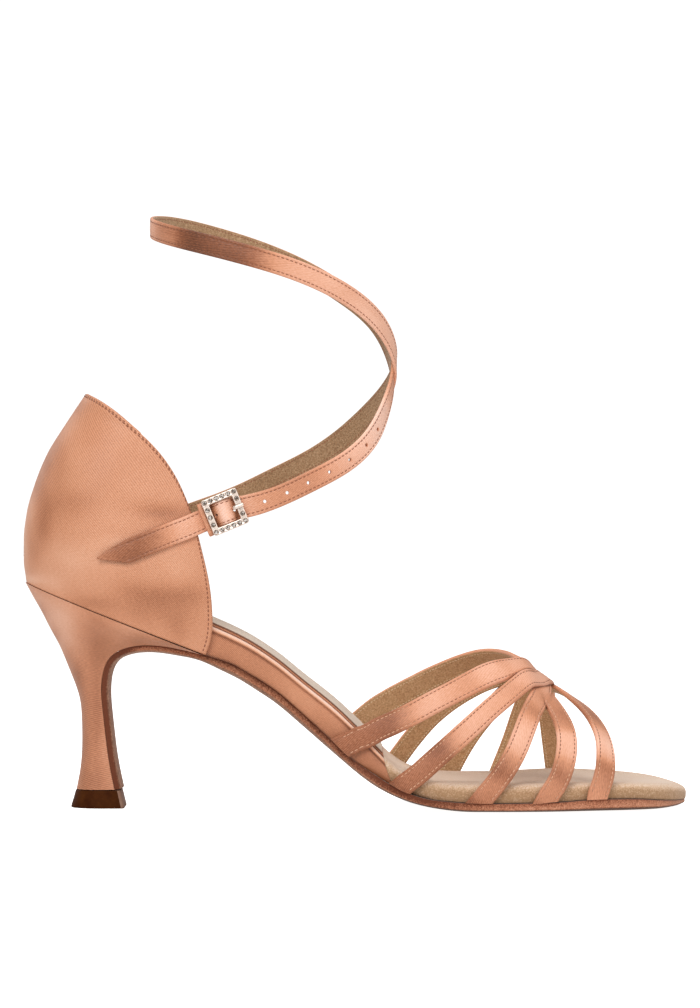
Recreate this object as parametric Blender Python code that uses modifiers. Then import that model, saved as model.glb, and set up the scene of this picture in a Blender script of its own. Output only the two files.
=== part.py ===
"""Latin dance shoe for the right foot, standing empty on its sole.

Frame: +X points to the toe, +Y to the inner (medial) side, +Z up. The origin is the centre of the
heel tip's foot face, on the floor. Tables and sizes are in millimetres, and MM turns them into
metres where a mesh is made.
"""

import math

import bmesh
import bpy
import numpy as np

MM = 0.001

# Driving dimensions
GAP = 0.3
COUNTER_WALL = 2.0
STRAP_THICK = 1.8
STRAP_CLEAR = 0.5
SOCK_THICK = 0.8
FLAP_THICK = 2.6
SOLE_WELT = 1.4
RIM_ROLL = 1.2
RIM_DEPTH = 2.8
ANKLE_WIDTH = 7.0
ANKLE_THICK = 1.3
TIP_HEIGHT = 6.0

# The seat is the slanted plane between the heel block and the upper
SEAT_BACK_X = -24.3
SEAT_BACK_Z = 76.4
SEAT_SLOPE = -0.395
SEAT_HALF = 25.5
SEAT_ROUND = 35.0


def table(names, rows):
    """Columns by name, from rows of numbers."""
    return dict(zip(names.split(), np.array(rows, float).T))


# Plan of the foot bed from the seat to the toe: half-widths outwards (lateral) and inwards (medial)
PLAN = table("x lateral medial", [
    (10.7, 23.1, 23.1),
    (25.0, 22.9, 22.3),
    (38.0, 22.0, 20.8),
    (50.0, 21.4, 20.0),
    (65.0, 21.0, 20.6),
    (80.0, 22.2, 24.0),
    (90.0, 24.6, 28.0),
    (100.0, 27.6, 31.6),
    (112.0, 31.2, 36.0),
    (125.0, 33.8, 39.8),
    (140.0, 34.6, 41.8),
    (152.0, 33.6, 41.6),
    (165.0, 30.8, 39.4),
    (177.0, 26.4, 35.4),
    (187.0, 20.4, 29.8),
    (194.0, 13.0, 23.4),
    (198.5, 3.6, 16.0),
    (200.6, -3.5, 11.0),
])

# Side view of the foot bed's top, of the joint under it, and of the outsole's walking face
TOP = table("x z", [
    (-24.3, 86.6),
    (0.0, 77.4),
    (20.0, 70.4),
    (39.5, 62.9),
    (50.6, 57.7),
    (60.4, 51.4),
    (70.2, 43.5),
    (80.1, 35.6),
    (88.0, 28.2),
    (94.0, 22.0),
    (100.0, 16.2),
    (105.0, 13.0),
    (110.0, 11.2),
    (120.0, 10.0),
    (130.0, 9.8),
    (160.0, 10.0),
    (170.0, 9.8),
    (180.0, 9.3),
    (190.0, 8.4),
    (196.0, 7.4),
    (200.6, 6.4),
])
JOINT = table("x z", [
    (36.0, 52.8),
    (45.6, 49.8),
    (50.5, 47.1),
    (60.4, 40.9),
    (70.2, 32.5),
    (79.1, 24.2),
    (85.0, 18.7),
    (94.8, 12.1),
    (104.6, 6.8),
    (115.0, 4.4),
    (130.0, 3.6),
    (150.0, 3.8),
    (170.0, 4.7),
    (180.0, 4.6),
    (190.0, 4.0),
    (200.6, 3.6),
])
WALKING = table("x z", [
    (36.0, 49.3),
    (45.5, 45.3),
    (50.5, 42.3),
    (60.3, 35.9),
    (70.2, 27.5),
    (80.0, 19.0),
    (90.0, 10.8),
    (95.0, 7.5),
    (100.0, 5.0),
    (105.0, 3.1),
    (110.0, 1.8),
    (115.0, 0.9),
    (120.0, 0.3),
    (125.0, 0.0),
    (180.0, 0.0),
    (188.0, 0.3),
    (195.0, 1.2),
    (200.6, 2.2),
])

# Heel block, one row for each slice from its tip to its seat. A slice runs from the back line to the
# front line, and flap is the half-width of the outsole's flap over it.
HEEL = table("back_x back_z front_x front_z half front flap", [
    (-7.4, 6.3, 6.0, 6.3, 8.3, 7.6, 7.4),
    (-6.0, 14.0, 4.4, 14.0, 7.6, 7.2, 7.0),
    (-5.5, 22.0, 3.2, 22.0, 7.4, 7.0, 6.8),
    (-5.6, 30.0, 2.3, 30.0, 7.6, 7.2, 7.0),
    (-6.3, 37.0, 1.6, 37.5, 8.4, 7.8, 7.6),
    (-8.8, 44.5, 1.9, 44.5, 10.4, 9.2, 8.9),
    (-11.0, 50.0, 3.6, 49.7, 13.0, 11.2, 10.8),
    (-13.4, 55.5, 7.4, 53.3, 16.2, 13.6, 13.0),
    (-16.4, 61.0, 13.4, 55.2, 19.6, 16.6, 15.6),
    (-19.2, 66.5, 21.0, 55.4, 22.4, 19.6, 17.6),
    (-22.0, 71.4, 29.0, 54.2, 24.4, 21.8, 18.4),
    (-24.3, 76.1, 36.0, 52.3, 25.5, 23.6, 18.4),
])

# Counter: outline of the closed back from the side, by its four edges
COUNTER_BACK = table("x z", [
    (-24.3, 76.4),
    (-25.3, 84.0),
    (-25.3, 91.0),
    (-24.3, 100.0),
    (-21.5, 110.0),
    (-17.4, 120.0),
    (-11.2, 130.0),
    (-4.0, 140.8),
])
COUNTER_TOP = table("x z", [
    (-4.0, 140.8),
    (1.0, 138.2),
    (11.2, 130.6),
    (21.3, 121.1),
    (28.2, 110.9),
    (33.7, 97.5),
])
COUNTER_FRONT = table("x z", [
    (37.4, 52.9),
    (39.0, 57.0),
    (39.6, 65.7),
    (39.0, 74.0),
    (36.5, 86.3),
    (33.7, 97.5),
])
# How far the inner side's front edge lies behind the outer side's
INNER_SETBACK = 2.4
# How far the cup stands out from the seat's outline at each height over the seat
CUP = table("height out", [
    (0.0, 0.0),
    (8.0, 1.6),
    (20.0, 2.6),
    (32.0, 2.0),
    (44.0, 0.8),
    (56.0, -1.8),
    (66.0, -4.4),
])

# Foot form under the toe straps: its ridge, seen from the side and from above
RIDGE = table("x z y", [
    (80.0, 64.0, 8.0),
    (100.0, 61.5, 8.0),
    (120.0, 58.0, 8.0),
    (130.0, 56.0, 7.5),
    (140.0, 52.0, 7.0),
    (150.0, 44.1, 6.0),
    (160.0, 37.5, 5.0),
    (170.0, 30.6, 4.0),
    (176.0, 24.0, 4.0),
])
EDGE_UNDER_TOP = 3.0

# Toe straps: the place along the shoe where each crosses the foot form, one row for each turn in
# degrees from the ridge, outwards below 0. Past 90 a strap goes straight down, a millimetre a degree.
STRAPS = table("turn rear_outer second_outer middle rear_inner second_inner", [
    (-106.0, 78.4, 94.4, 116.5, 141.5, 165.0),
    (-90.0, 87.6, 104.5, 130.9, 152.0, 168.2),
    (-75.0, 96.6, 116.5, 139.5, 156.5, 170.3),
    (-60.0, 108.8, 128.9, 144.0, 157.9, 171.0),
    (-45.0, 125.4, 138.7, 147.5, 156.8, 170.8),
    (-30.0, 137.8, 146.0, 150.5, 152.6, 169.2),
    (-15.0, 145.8, 151.2, 152.6, 147.8, 165.8),
    (0.0, 149.6, 154.2, 153.2, 144.0, 160.0),
    (15.0, 150.9, 155.6, 152.3, 139.8, 152.8),
    (30.0, 149.6, 156.3, 150.0, 130.5, 144.2),
    (45.0, 147.4, 157.6, 144.2, 116.2, 132.6),
    (60.0, 145.0, 158.6, 135.9, 102.3, 118.5),
    (75.0, 141.8, 159.1, 126.4, 93.4, 107.9),
    (90.0, 137.2, 159.4, 119.2, 87.4, 100.7),
    (106.0, 132.0, 159.4, 112.5, 81.4, 94.3),
])
# Width and roll in degrees of each strap's outer half and inner half. A rolled strap stands more upright.
STRAP_SHAPE = {
    "rear_outer": (8.0, 14.0, 7.2, 0.0),
    "second_outer": (7.4, 0.0, 7.0, 0.0),
    "middle": (7.2, 0.0, 7.2, 0.0),
    "rear_inner": (7.2, 0.0, 7.4, 0.0),
    "second_inner": (7.2, 0.0, 7.2, 0.0),
}
# How far each strap's middle lies over or under the form, away from the knot and in it
STRAP_LAYERS = {
    "rear_outer": (0.05, -0.55),
    "second_outer": (0.1, 0.95),
    "middle": (-0.05, -0.2),
    "rear_inner": (0.0, 0.55),
    "second_inner": (-0.1, 0.2),
}
KNOT_X = 149.5
KNOT_REACH = 13.0

# Ankle strap, one row for each station from its sewn end to the buckle. facing is the way its satin
# side looks, in degrees from +X towards +Y.
ANKLE = table("x y z facing", [
    (24.0, 23.2, 97.2, 92.0),
    (32.0, 22.4, 100.3, 97.0),
    (40.0, 25.0, 103.2, 98.0),
    (48.0, 27.4, 106.5, 88.0),
    (60.0, 28.0, 112.3, 84.0),
    (72.0, 25.9, 118.2, 74.0),
    (84.0, 20.6, 126.1, 58.0),
    (92.5, 14.2, 134.3, 42.0),
    (98.6, 6.6, 142.6, 22.0),
    (100.9, 0.0, 150.0, 0.0),
    (99.5, -6.4, 157.2, -20.0),
    (94.0, -14.6, 165.6, -40.0),
    (84.0, -22.6, 173.3, -58.0),
    (70.0, -27.6, 180.0, -76.0),
    (54.0, -28.6, 185.2, -92.0),
    (38.0, -25.0, 189.6, -112.0),
    (25.0, -15.6, 193.4, -138.0),
    (18.2, 0.0, 197.0, -180.0),
    (24.6, 15.6, 198.2, -222.0),
    (38.0, 25.2, 195.7, -250.0),
    (54.0, 28.6, 190.8, -268.0),
    (70.0, 27.2, 183.8, -284.0),
    (84.0, 21.6, 175.0, -302.0),
    (94.3, 13.0, 165.2, -322.0),
    (98.6, 5.6, 155.6, -342.0),
    (99.4, -1.0, 146.2, -364.0),
    (97.6, -7.6, 136.2, -384.0),
    (92.8, -14.6, 126.8, -404.0),
    (84.0, -21.4, 118.2, -422.0),
    (72.0, -26.0, 111.1, -438.0),
    (61.0, -28.1, 105.8, -448.0),
])

# Buckle, laid out in its own directions: along the strap towards the front, across it, and outwards
BUCKLE_X = 44.0
BUCKLE_Y = -27.7
BUCKLE_Z = 100.4
BUCKLE_RISE = 22.4
FRAME_SIDE = 12.6
FRAME_BAR = 2.2
FRAME_THICK = 1.8
FRAME_OUT = 1.15
BAR_RADIUS = 0.5
BAR_OUT = -1.2
EYE_THICK = 0.8
WINDOW_LIFT = 1.45
KEEPER_ALONG = -8.5
KEEPER_WIDTH = 2.2
KEEPER_WALL = 0.9
KEEPER_LOW = -4.7
TAB_THICK = 1.0
TAB_OUT = -2.3
TAB_WIDTH = 6.2
LUG_WALL = 0.15
PRONG_RADIUS = 0.4
PRONG_SLOT = 0.9
PRONG_HOLE = 3.15
HOLE_RADIUS = 0.85
# Tail past the buckle: distance back along the strap, drop below its line, and way out
TAIL = table("back drop out", [
    (13.0, 0.0, 0.25),
    (20.0, 0.2, 0.65),
    (28.0, 0.2, 1.2),
    (36.0, -0.6, 1.6),
    (44.4, -1.9, 1.65),
])
TAIL_POINT = 10.0


def smooth(knots, values, where):
    """Cubic curve through the knots that never overshoots them."""
    step = np.diff(knots)
    rise = np.diff(values) / step
    slope = np.zeros(len(values))
    slope[0], slope[-1] = rise[0], rise[-1]
    turn = rise[:-1] * rise[1:]
    same = turn > 0
    slope[1:-1][same] = 2 * turn[same] / (rise[:-1] + rise[1:])[same]
    where = np.clip(where, knots[0], knots[-1])
    at = np.clip(np.searchsorted(knots, where) - 1, 0, len(step) - 1)
    t = (where - knots[at]) / step[at]
    low = (1 + 2 * t) * (1 - t) ** 2 * values[at] + t * (1 - t) ** 2 * step[at] * slope[at]
    high = t * t * (3 - 2 * t) * values[at + 1] + t * t * (t - 1) * step[at] * slope[at + 1]
    return low + high


def spline(knots, values, where):
    """Natural cubic spline through the knots, for one column or several."""
    knots = np.asarray(knots, float)
    values = np.asarray(values, float).reshape(len(knots), -1)
    step = np.diff(knots)[:, None]
    count = len(knots)
    system = np.eye(count)
    right = np.zeros(values.shape)
    for i in range(1, count - 1):
        system[i, i - 1:i + 2] = step[i - 1, 0], 2 * (step[i - 1, 0] + step[i, 0]), step[i, 0]
        right[i] = 6 * ((values[i + 1] - values[i]) / step[i] - (values[i] - values[i - 1]) / step[i - 1])
    bend = np.linalg.solve(system, right)
    at = np.clip(np.searchsorted(knots, where) - 1, 0, count - 2)
    h = step[at]
    a = (knots[at + 1] - where)[:, None] / h
    b = 1 - a
    curve = a * values[at] + b * values[at + 1]
    return curve + ((a ** 3 - a) * bend[at] + (b ** 3 - b) * bend[at + 1]) * h * h / 6


def along(columns, name, x):
    """A column of a side-view table at x."""
    return smooth(columns["x"], columns[name], x)


def through(points, count):
    """Evenly spread points on a smooth curve through the given ones, and their places 0 to 1."""
    points = np.asarray(points, float)
    reach = np.r_[0, np.cumsum(np.linalg.norm(np.diff(points, axis=0), axis=1))]
    where = np.linspace(0, reach[-1], count)
    return spline(reach, points, where), reach, where


def seat_z(x):
    return SEAT_BACK_Z + SEAT_SLOPE * (x - SEAT_BACK_X)


def joint_z(x):
    """Underside of the foot bed: the seat under the heel, then the top of the outsole."""
    x = np.asarray(x, float)
    return np.where(x < JOINT["x"][0], seat_z(x), along(JOINT, "z", x))


def rounded_back(distance, length):
    """Share of the full half-width at this distance from the back of a rounded end."""
    return np.sqrt(np.clip(1 - (1 - np.clip(distance / length, 0, 1)) ** 2, 0, 1))


def bed_half(x, side):
    """Half-width of the foot bed towards one side: -1 lateral, 1 medial."""
    x = np.asarray(x, float)
    inset = SEAT_HALF - PLAN["lateral"][0]
    seat = (SEAT_HALF - inset) * rounded_back(x - SEAT_BACK_X - inset, SEAT_ROUND - inset)
    plan = along(PLAN, "lateral" if side < 0 else "medial", x)
    return np.where(x < PLAN["x"][0], seat, plan)


BED_STATIONS = np.r_[-19.6, -17.0, -12.0, -4.0, 6.0, np.linspace(18, 96.6, 16)]


def side_tilt(x):
    """Rise of the foot bed per millimetre towards the inner side: the arch leans up there."""
    return 0.03 * np.clip((x - 20) / 20, 0, 1) * np.clip((112 - x) / 25, 0, 1)


def foot_point(x, turn, out=0.0):
    """Point of the foot form at x, turned from its ridge, and raised outwards."""
    x, turn = np.broadcast_arrays(np.asarray(x, float), np.asarray(turn, float))
    side = np.where(turn < 0, -1.0, 1.0)
    clear = STRAP_CLEAR + STRAP_THICK / 2
    edge = np.where(side < 0, -bed_half(x, -1) - clear, bed_half(x, 1) + clear)
    base = along(TOP, "z", x) - EDGE_UNDER_TOP
    angle = np.radians(np.clip(np.abs(turn), 0, 90))
    ridge_y, ridge_z = along(RIDGE, "y", x), along(RIDGE, "z", x)
    y = ridge_y + (edge - ridge_y) * np.sin(angle) + side * out * np.sin(angle)
    z = base + (ridge_z - base) * np.cos(angle) + out * np.cos(angle)
    z = z - np.clip(np.abs(turn) - 90, 0, None)
    return np.stack([x, y, z], -1)


def new_material(name, colour, roughness, metallic=0.0):
    material = bpy.data.materials.new(name)
    material.use_nodes = True
    shader = material.node_tree.nodes["Principled BSDF"]
    shader.inputs["Base Color"].default_value = (*colour, 1.0)
    shader.inputs["Roughness"].default_value = roughness
    shader.inputs["Metallic"].default_value = metallic
    return material


def new_object(name, points, faces, material, collection):
    """A mesh object from points in millimetres, with its faces turned outwards."""
    mesh = bpy.data.meshes.new(name)
    mesh.from_pydata((np.asarray(points) * MM).tolist(), [], faces)
    work = bmesh.new()
    work.from_mesh(mesh)
    bmesh.ops.recalc_face_normals(work, faces=work.faces)
    work.to_mesh(mesh)
    work.free()
    mesh.shade_smooth()
    mesh.set_sharp_from_angle(angle=math.radians(35))
    if material:
        mesh.materials.append(material)
    piece = bpy.data.objects.new(name, mesh)
    collection.objects.link(piece)
    return piece


def grid_faces(rows, columns, closed):
    """Quads between the rows of a grid, whose columns may close on themselves."""
    last = columns if closed else columns - 1
    return [
        (r * columns + c, r * columns + d, (r + 1) * columns + d, (r + 1) * columns + c)
        for r in range(rows - 1)
        for c, d in ((c, (c + 1) % columns) for c in range(last))
    ]


def loft(name, rings, material, collection):
    """Closed solid through rings of points, with a face on each end."""
    rings = np.asarray(rings)
    rows, columns = rings.shape[:2]
    faces = grid_faces(rows, columns, True)
    faces.append(tuple(range(columns)))
    faces.append(tuple(range((rows - 1) * columns, rows * columns)))
    return new_object(name, rings.reshape(-1, 3), faces, material, collection)


def closed_ring(name, rings, material, collection):
    """Solid through rings that come round to the first again, as a frame or a loop does."""
    rings = np.asarray(rings)
    rows, columns = rings.shape[:2]
    faces = grid_faces(rows + 1, columns, True)
    faces = [tuple(corner % (rows * columns) for corner in face) for face in faces]
    return new_object(name, rings.reshape(-1, 3), faces, material, collection)


def band_rings(centre, outward, width, thick):
    """Rings of a flat band with softened outer corners, carried along its middle line."""
    ahead = np.gradient(centre, axis=0)
    ahead /= np.linalg.norm(ahead, axis=1)[:, None]
    outward = outward - ahead * (outward * ahead).sum(1)[:, None]
    outward /= np.linalg.norm(outward, axis=1)[:, None]
    across = np.cross(ahead, outward)
    width = np.broadcast_to(width, len(centre))
    soft = 0.35 * thick
    shape = [
        (-0.5, 0.0, -0.5),
        (0.5, 0.0, -0.5),
        (0.5, 0.0, 0.15),
        (0.5, -soft, 0.5),
        (-0.5, soft, 0.5),
        (-0.5, 0.0, 0.15),
    ]
    rings = [
        centre + across * (w * width + inset)[:, None] + outward * (rise * thick)
        for w, inset, rise in shape
    ]
    return np.stack(rings, 1)


def make_outsole(material, collection):
    """Suede sole: one sheet from the foot of the breast flap over the waist to the toe."""
    front = np.stack([HEEL["front_x"], HEEL["front_z"]], -1)
    ahead = np.gradient(front, axis=0)
    ahead /= np.linalg.norm(ahead, axis=1)[:, None]
    away = np.stack([ahead[:, 1], -ahead[:, 0]], -1)
    rings = []
    for (x, z), (ax, az), half in zip(front, away, HEEL["flap"]):
        inner = (x + GAP * ax, z + GAP * az)
        outer = (inner[0] + FLAP_THICK * ax, inner[1] + FLAP_THICK * az)
        rings.append(sole_ring(inner, outer, half, half))
    waist = np.array([42.0, 48.0, 54.0, 60.0, 66.0, 72.0, 78.0, 84.0, 89.0])
    ball = np.array([94.0, 99.0, 104.0, 109.0, 114.0, 119.0, 125.0])
    tread = np.array([133.0, 142.0, 151.0, 160.0, 168.0, 175.0, 180.0])
    toe = np.array([184.5, 188.5, 192.0, 195.0, 197.4, 199.0])
    for x in np.r_[waist, ball, tread, toe]:
        blend = np.clip((x - 74) / 22, 0, 1)
        blend = blend * blend * (3 - 2 * blend)
        waist_half = 18.2 - 0.6 * np.clip((x - 42) / 20, 0, 1)
        shrink = np.clip((x - 194) / 5, 0, 1)
        lateral = waist_half + (float(bed_half(x + shrink, -1)) + SOLE_WELT - waist_half) * blend
        medial = waist_half + (float(bed_half(x + shrink, 1)) + SOLE_WELT - waist_half) * blend
        top, bottom = float(joint_z(x)) - GAP, float(along(WALKING, "z", x))
        rings.append(sole_ring((x, top), (x, bottom), lateral, medial))
    return loft("outsole", rings, material, collection)


def sole_ring(inner, outer, lateral, medial):
    """One cross-section of the sole, with its walking edge rounded up."""
    reach = np.array([-1.0, -1.0, -0.95, -0.75, -0.5, 0.5, 0.75, 0.95, 1.0, 1.0])
    depth = np.array([0.0, 0.5, 0.74, 0.9, 1.0, 1.0, 0.9, 0.74, 0.5, 0.0])
    y = np.where(reach < 0, reach * lateral, reach * medial)
    x = inner[0] + (outer[0] - inner[0]) * depth
    z = inner[1] + (outer[1] - inner[1]) * depth
    return np.stack([x, y, z], -1)


def make_insole_board(material, collection):
    """Shank board of seat and waist: rolled rim, a crease under it, and sides drawn in to the sole."""
    stations = np.r_[-21.4, BED_STATIONS]
    rings = []
    for x in stations:
        left, right = float(bed_half(x, -1)), float(bed_half(x, 1))
        top, low = float(along(TOP, "z", x)), float(joint_z(x)) + GAP
        tilt = float(side_tilt(x))
        roll = min(1.0, left / 12)
        ring = [(x, 0.0, top)]
        for side, half in ((-1, left), (1, right)):
            profile = [(1.3, top), (0.0, top - RIM_ROLL), (0.8, top - RIM_DEPTH), (1.9, low)]
            points = [(half - inset * roll, z) for inset, z in profile]
            points = [(x, side * y, z + side * tilt * y * (z > low)) for y, z in points]
            ring += points if side < 0 else points[::-1]
        rings.append(ring)
    return loft("insole_board", rings, material, collection)


def make_insole_forefoot(material, collection):
    """Suede-wrapped insole under the ball and toes, its top edge rounded over."""
    ball = np.array([97.0, 100.0, 104.0, 109.0, 115.0, 122.0, 130.0, 139.0, 148.0, 157.0])
    toe = np.array([165.0, 172.0, 178.0, 183.0, 187.5, 191.5, 194.7, 197.2, 199.2, 200.5])
    rings = []
    for x in np.r_[ball, toe]:
        top, low = float(along(TOP, "z", x)), float(joint_z(x)) + GAP
        tilt = float(side_tilt(x))
        deep = top - low
        ring = []
        for side in (-1, 1):
            half = float(bed_half(x, side))
            shape = [(half - 0.7, low), (half, low + 0.3 * deep), (half - 0.2, low + 0.62 * deep),
                     (half - 1.1, low + 0.88 * deep), (half - 3.2, top)]
            points = [(x, side * y, z + side * tilt * y * (z > low)) for y, z in shape]
            ring += points if side < 0 else points[::-1]
        rings.append(ring)
    return loft("insole_forefoot", rings, material, collection)


def make_sock_lining(material, collection):
    """Thin sock on the seat and waist, a little inside the board's rim."""
    rings = []
    for x in BED_STATIONS:
        low = float(along(TOP, "z", x)) + GAP
        tilt = float(side_tilt(x))
        left, right = float(bed_half(x, -1)) - 1.8, float(bed_half(x, 1)) - 1.8
        high = SOCK_THICK
        shape = [(-left, 0), (0, 0), (right, 0), (right - 0.5, high), (0, high + 0.2), (-left + 0.5, high)]
        rings.append([(x, y, low + rise + tilt * y) for y, rise in shape])
    return loft("sock_lining", rings, material, collection)


def heel_ring(row):
    """One slice of the heel: a round back, easing in to a flat front."""
    back = np.array([HEEL["back_x"][row], HEEL["back_z"][row]])
    front = np.array([HEEL["front_x"][row], HEEL["front_z"][row]])
    half, front_half = HEEL["half"][row], HEEL["front"][row]
    widest = 0.58
    turn = np.radians(np.linspace(0, 90, 9))
    reach = np.r_[widest * (1 - np.cos(turn)), 0.78, 0.97, 1.0]
    width = np.r_[half * np.sin(turn), half + (front_half - half) * 0.35, front_half * 1.0, front_half - 0.6]
    along_slice = back + (front - back) * reach[:, None]
    near = np.stack([along_slice[:, 0], -width, along_slice[:, 1]], -1)
    far = near * [1, -1, 1]
    return np.r_[near[::-1], far[1:]]


def make_heel(material, collection):
    """Flared satin-covered heel block, from over the tip to the slanted seat."""
    rings = [heel_ring(row) for row in range(len(HEEL["half"]))]
    return loft("heel", rings, material, collection)


def make_heel_tip(material, collection):
    """Plastic foot of the heel, D-shaped and a little wider on the floor."""
    rings = []
    for z, back, front, half in ((0.0, -9.1, 9.1, 8.8), (1.0, -9.2, 9.2, 8.9), (TIP_HEIGHT, -7.6, 8.7, 8.4)):
        turn = np.radians(np.linspace(0, 90, 9))
        x = np.r_[back + 0.55 * (front - back) * (1 - np.cos(turn)), front - 1.2, front]
        y = np.r_[half * np.sin(turn), half - 0.3, half - 1.5]
        near = np.stack([x, -y, np.full(len(x), z)], -1)
        rings.append(np.r_[near[::-1], (near * [1, -1, 1])[1:]])
    return loft("heel_tip", rings, material, collection)


def counter_half(x, z):
    """Half-width of the counter's outer face at a point of the side view."""
    height = z - seat_z(x)
    out = smooth(CUP["height"], CUP["out"], height)
    back = smooth(COUNTER_BACK["z"], COUNTER_BACK["x"], z)
    length = SEAT_ROUND - 9.0 * np.clip(height / 66, 0, 1)
    distance = np.clip(x - back, 0, None)
    past = np.clip((distance - length) / 25, 0, 1.2)
    waist = 1 - 0.075 * past ** 2 * (1 - np.clip(height / 40, 0, 1))
    return (SEAT_HALF + out) * rounded_back(distance, length) * waist


def counter_sheet(columns, rows):
    """Outer face of the counter: its side view filled between four edges, then bent round the heel."""
    s = np.linspace(0, 1, columns) ** 1.7
    v = np.linspace(0, 1, rows)
    edge = {}
    lines = (("back", COUNTER_BACK, v), ("front", COUNTER_FRONT, v), ("top", COUNTER_TOP, s))
    for name, line, share in lines:
        points = np.stack([line["x"], line["z"]], -1)
        reach = np.r_[0, np.cumsum(np.linalg.norm(np.diff(points, axis=0), axis=1))]
        edge[name] = spline(reach, points, share * reach[-1])
    start, end = edge["back"][0], edge["front"][0]
    edge["bottom"] = start + (end - start) * s[:, None]
    s, v = s[:, None, None], v[None, :, None]
    across = (1 - s) * edge["back"][None] + s * edge["front"][None]
    up = (1 - v) * edge["bottom"][:, None] + v * edge["top"][:, None]
    corners = (1 - s) * ((1 - v) * edge["back"][0] + v * edge["back"][-1])
    corners = corners + s * ((1 - v) * edge["front"][0] + v * edge["front"][-1])
    view = across + up - corners
    x, z = view[..., 0], view[..., 1]
    y = counter_half(x, z)
    near = np.stack([x, -y, z], -1)
    x = x - INNER_SETBACK * np.broadcast_to(s[..., 0], x.shape)
    far = np.stack([x, counter_half(x, z), z], -1)
    return np.concatenate([near[::-1], far[1:]])


def make_heel_counter(material, collection):
    """Closed back of the upper: an open sheet given its wall inwards."""
    sheet = counter_sheet(13, 12)
    columns, rows = sheet.shape[:2]
    faces = grid_faces(columns, rows, False)
    piece = new_object("heel_counter", sheet.reshape(-1, 3), faces, material, collection)
    lowest_face = max(piece.data.polygons, key=lambda face: face.center.y)
    if lowest_face.normal.y < 0:
        piece.data.flip_normals()
    wall = piece.modifiers.new("wall", "SOLIDIFY")
    wall.thickness = COUNTER_WALL * MM
    wall.offset = -1.0
    wall.use_even_offset = True
    return piece


def strap_band(name, count=38):
    """Middle line and outward direction of one toe strap on the foot form."""
    turn = np.linspace(STRAPS["turn"][0], STRAPS["turn"][-1], count)
    x = spline(STRAPS["turn"], STRAPS[name], turn)[:, 0]
    away, inside = STRAP_LAYERS[name]
    near_knot = np.exp(-((x - KNOT_X) / KNOT_REACH) ** 2 - (turn / 40) ** 2)
    lift = away + (inside - away) * near_knot
    centre = foot_point(x, turn, lift)
    along_x = foot_point(x + 0.5, turn, lift) - foot_point(x - 0.5, turn, lift)
    along_turn = foot_point(x, turn + 0.5, lift) - foot_point(x, turn - 0.5, lift)
    outward = np.cross(along_x, along_turn)
    outward *= np.sign((outward * (centre - [120, 5, 10])).sum(1))[:, None]
    outward /= np.linalg.norm(outward, axis=1)[:, None]
    outer_width, outer_roll, inner_width, inner_roll = STRAP_SHAPE[name]
    share = np.clip((np.abs(turn) - 10) / 30, 0, 1)
    knot_width = (outer_width + inner_width) / 2
    width = knot_width + (np.where(turn < 0, outer_width, inner_width) - knot_width) * share
    roll = np.radians(np.where(turn < 0, outer_roll, inner_roll) * share)[:, None]
    level = np.stack([0 * turn, np.sign(turn), 0 * turn], -1)
    outward = outward * np.cos(roll) + level * np.sin(roll)
    return centre, outward, width


def make_vamp_straps(material, collection, cutters):
    """Five bands joined where they cross, then cut off level with the outsole's top."""
    bands = []
    for name in STRAP_SHAPE:
        centre, outward, width = strap_band(name)
        rings = band_rings(centre, outward, width, STRAP_THICK)
        if bands:
            bands.append(loft(name, rings, material, cutters))
        else:
            bands.append(loft("vamp_straps", rings, material, collection))
    for band in bands[1:]:
        join(bands[0], band)
    rings = []
    for x in np.r_[60.0, 70.0, np.linspace(75, 180, 22), 190.0]:
        level = float(joint_z(x)) + GAP
        rings.append([(x, -60, level), (x, 60, level), (x, 60, level - 40), (x, -60, level - 40)])
    subtract(bands[0], loft("strap_floor", rings, None, cutters))
    return bands[0]


def hide(piece):
    piece.hide_render = True
    piece.display_type = "WIRE"


def buckle_directions():
    rise = math.radians(BUCKLE_RISE)
    ahead = np.array([math.cos(rise), 0.0, math.sin(rise)])
    outward = np.array([0.0, -1.0, 0.0])
    across = np.array([-math.sin(rise), 0.0, math.cos(rise)])
    return ahead, across, outward


def at_buckle(points):
    """World points from (ahead, across, outward) distances at the buckle's middle."""
    ahead, across, outward = buckle_directions()
    points = np.asarray(points, float)
    centre = np.array([BUCKLE_X, BUCKLE_Y, BUCKLE_Z])
    return centre + points[..., :1] * ahead + points[..., 1:2] * across + points[..., 2:3] * outward


def ankle_route():
    """The strap's stations: round the ankle, over the centre bar, under the side bars, and the tail."""
    loop = np.stack([ANKLE["x"], ANKLE["y"], ANKLE["z"]], -1)
    turned = np.radians(ANKLE["facing"])
    facing = np.stack([np.cos(turned), np.sin(turned), np.zeros(len(turned))], -1)
    top = WINDOW_LIFT
    half_wave = [(8.5, 0, 0), (6.3, 0, -0.05), (4.3, 0, 0), (2.6, 0, 0.65), (1.0, 0, top - 0.1), (0, 0, top)]
    wave = np.r_[half_wave, np.array(half_wave[-2::-1]) * [-1, 1, 1]]
    wave[:, 1] = smooth(np.array([-8.5, 2.0, 4.3, 8.5]), np.array([0.0, 0.0, -0.3, -1.5]), wave[:, 0])
    tail = np.stack([-TAIL["back"], -TAIL["drop"], TAIL["out"]], -1)
    local = at_buckle(np.r_[wave, tail])
    outward = np.tile(buckle_directions()[2], (len(local), 1))
    return np.r_[loop, local], np.r_[facing, outward], len(loop), len(loop) + len(wave)


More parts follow.
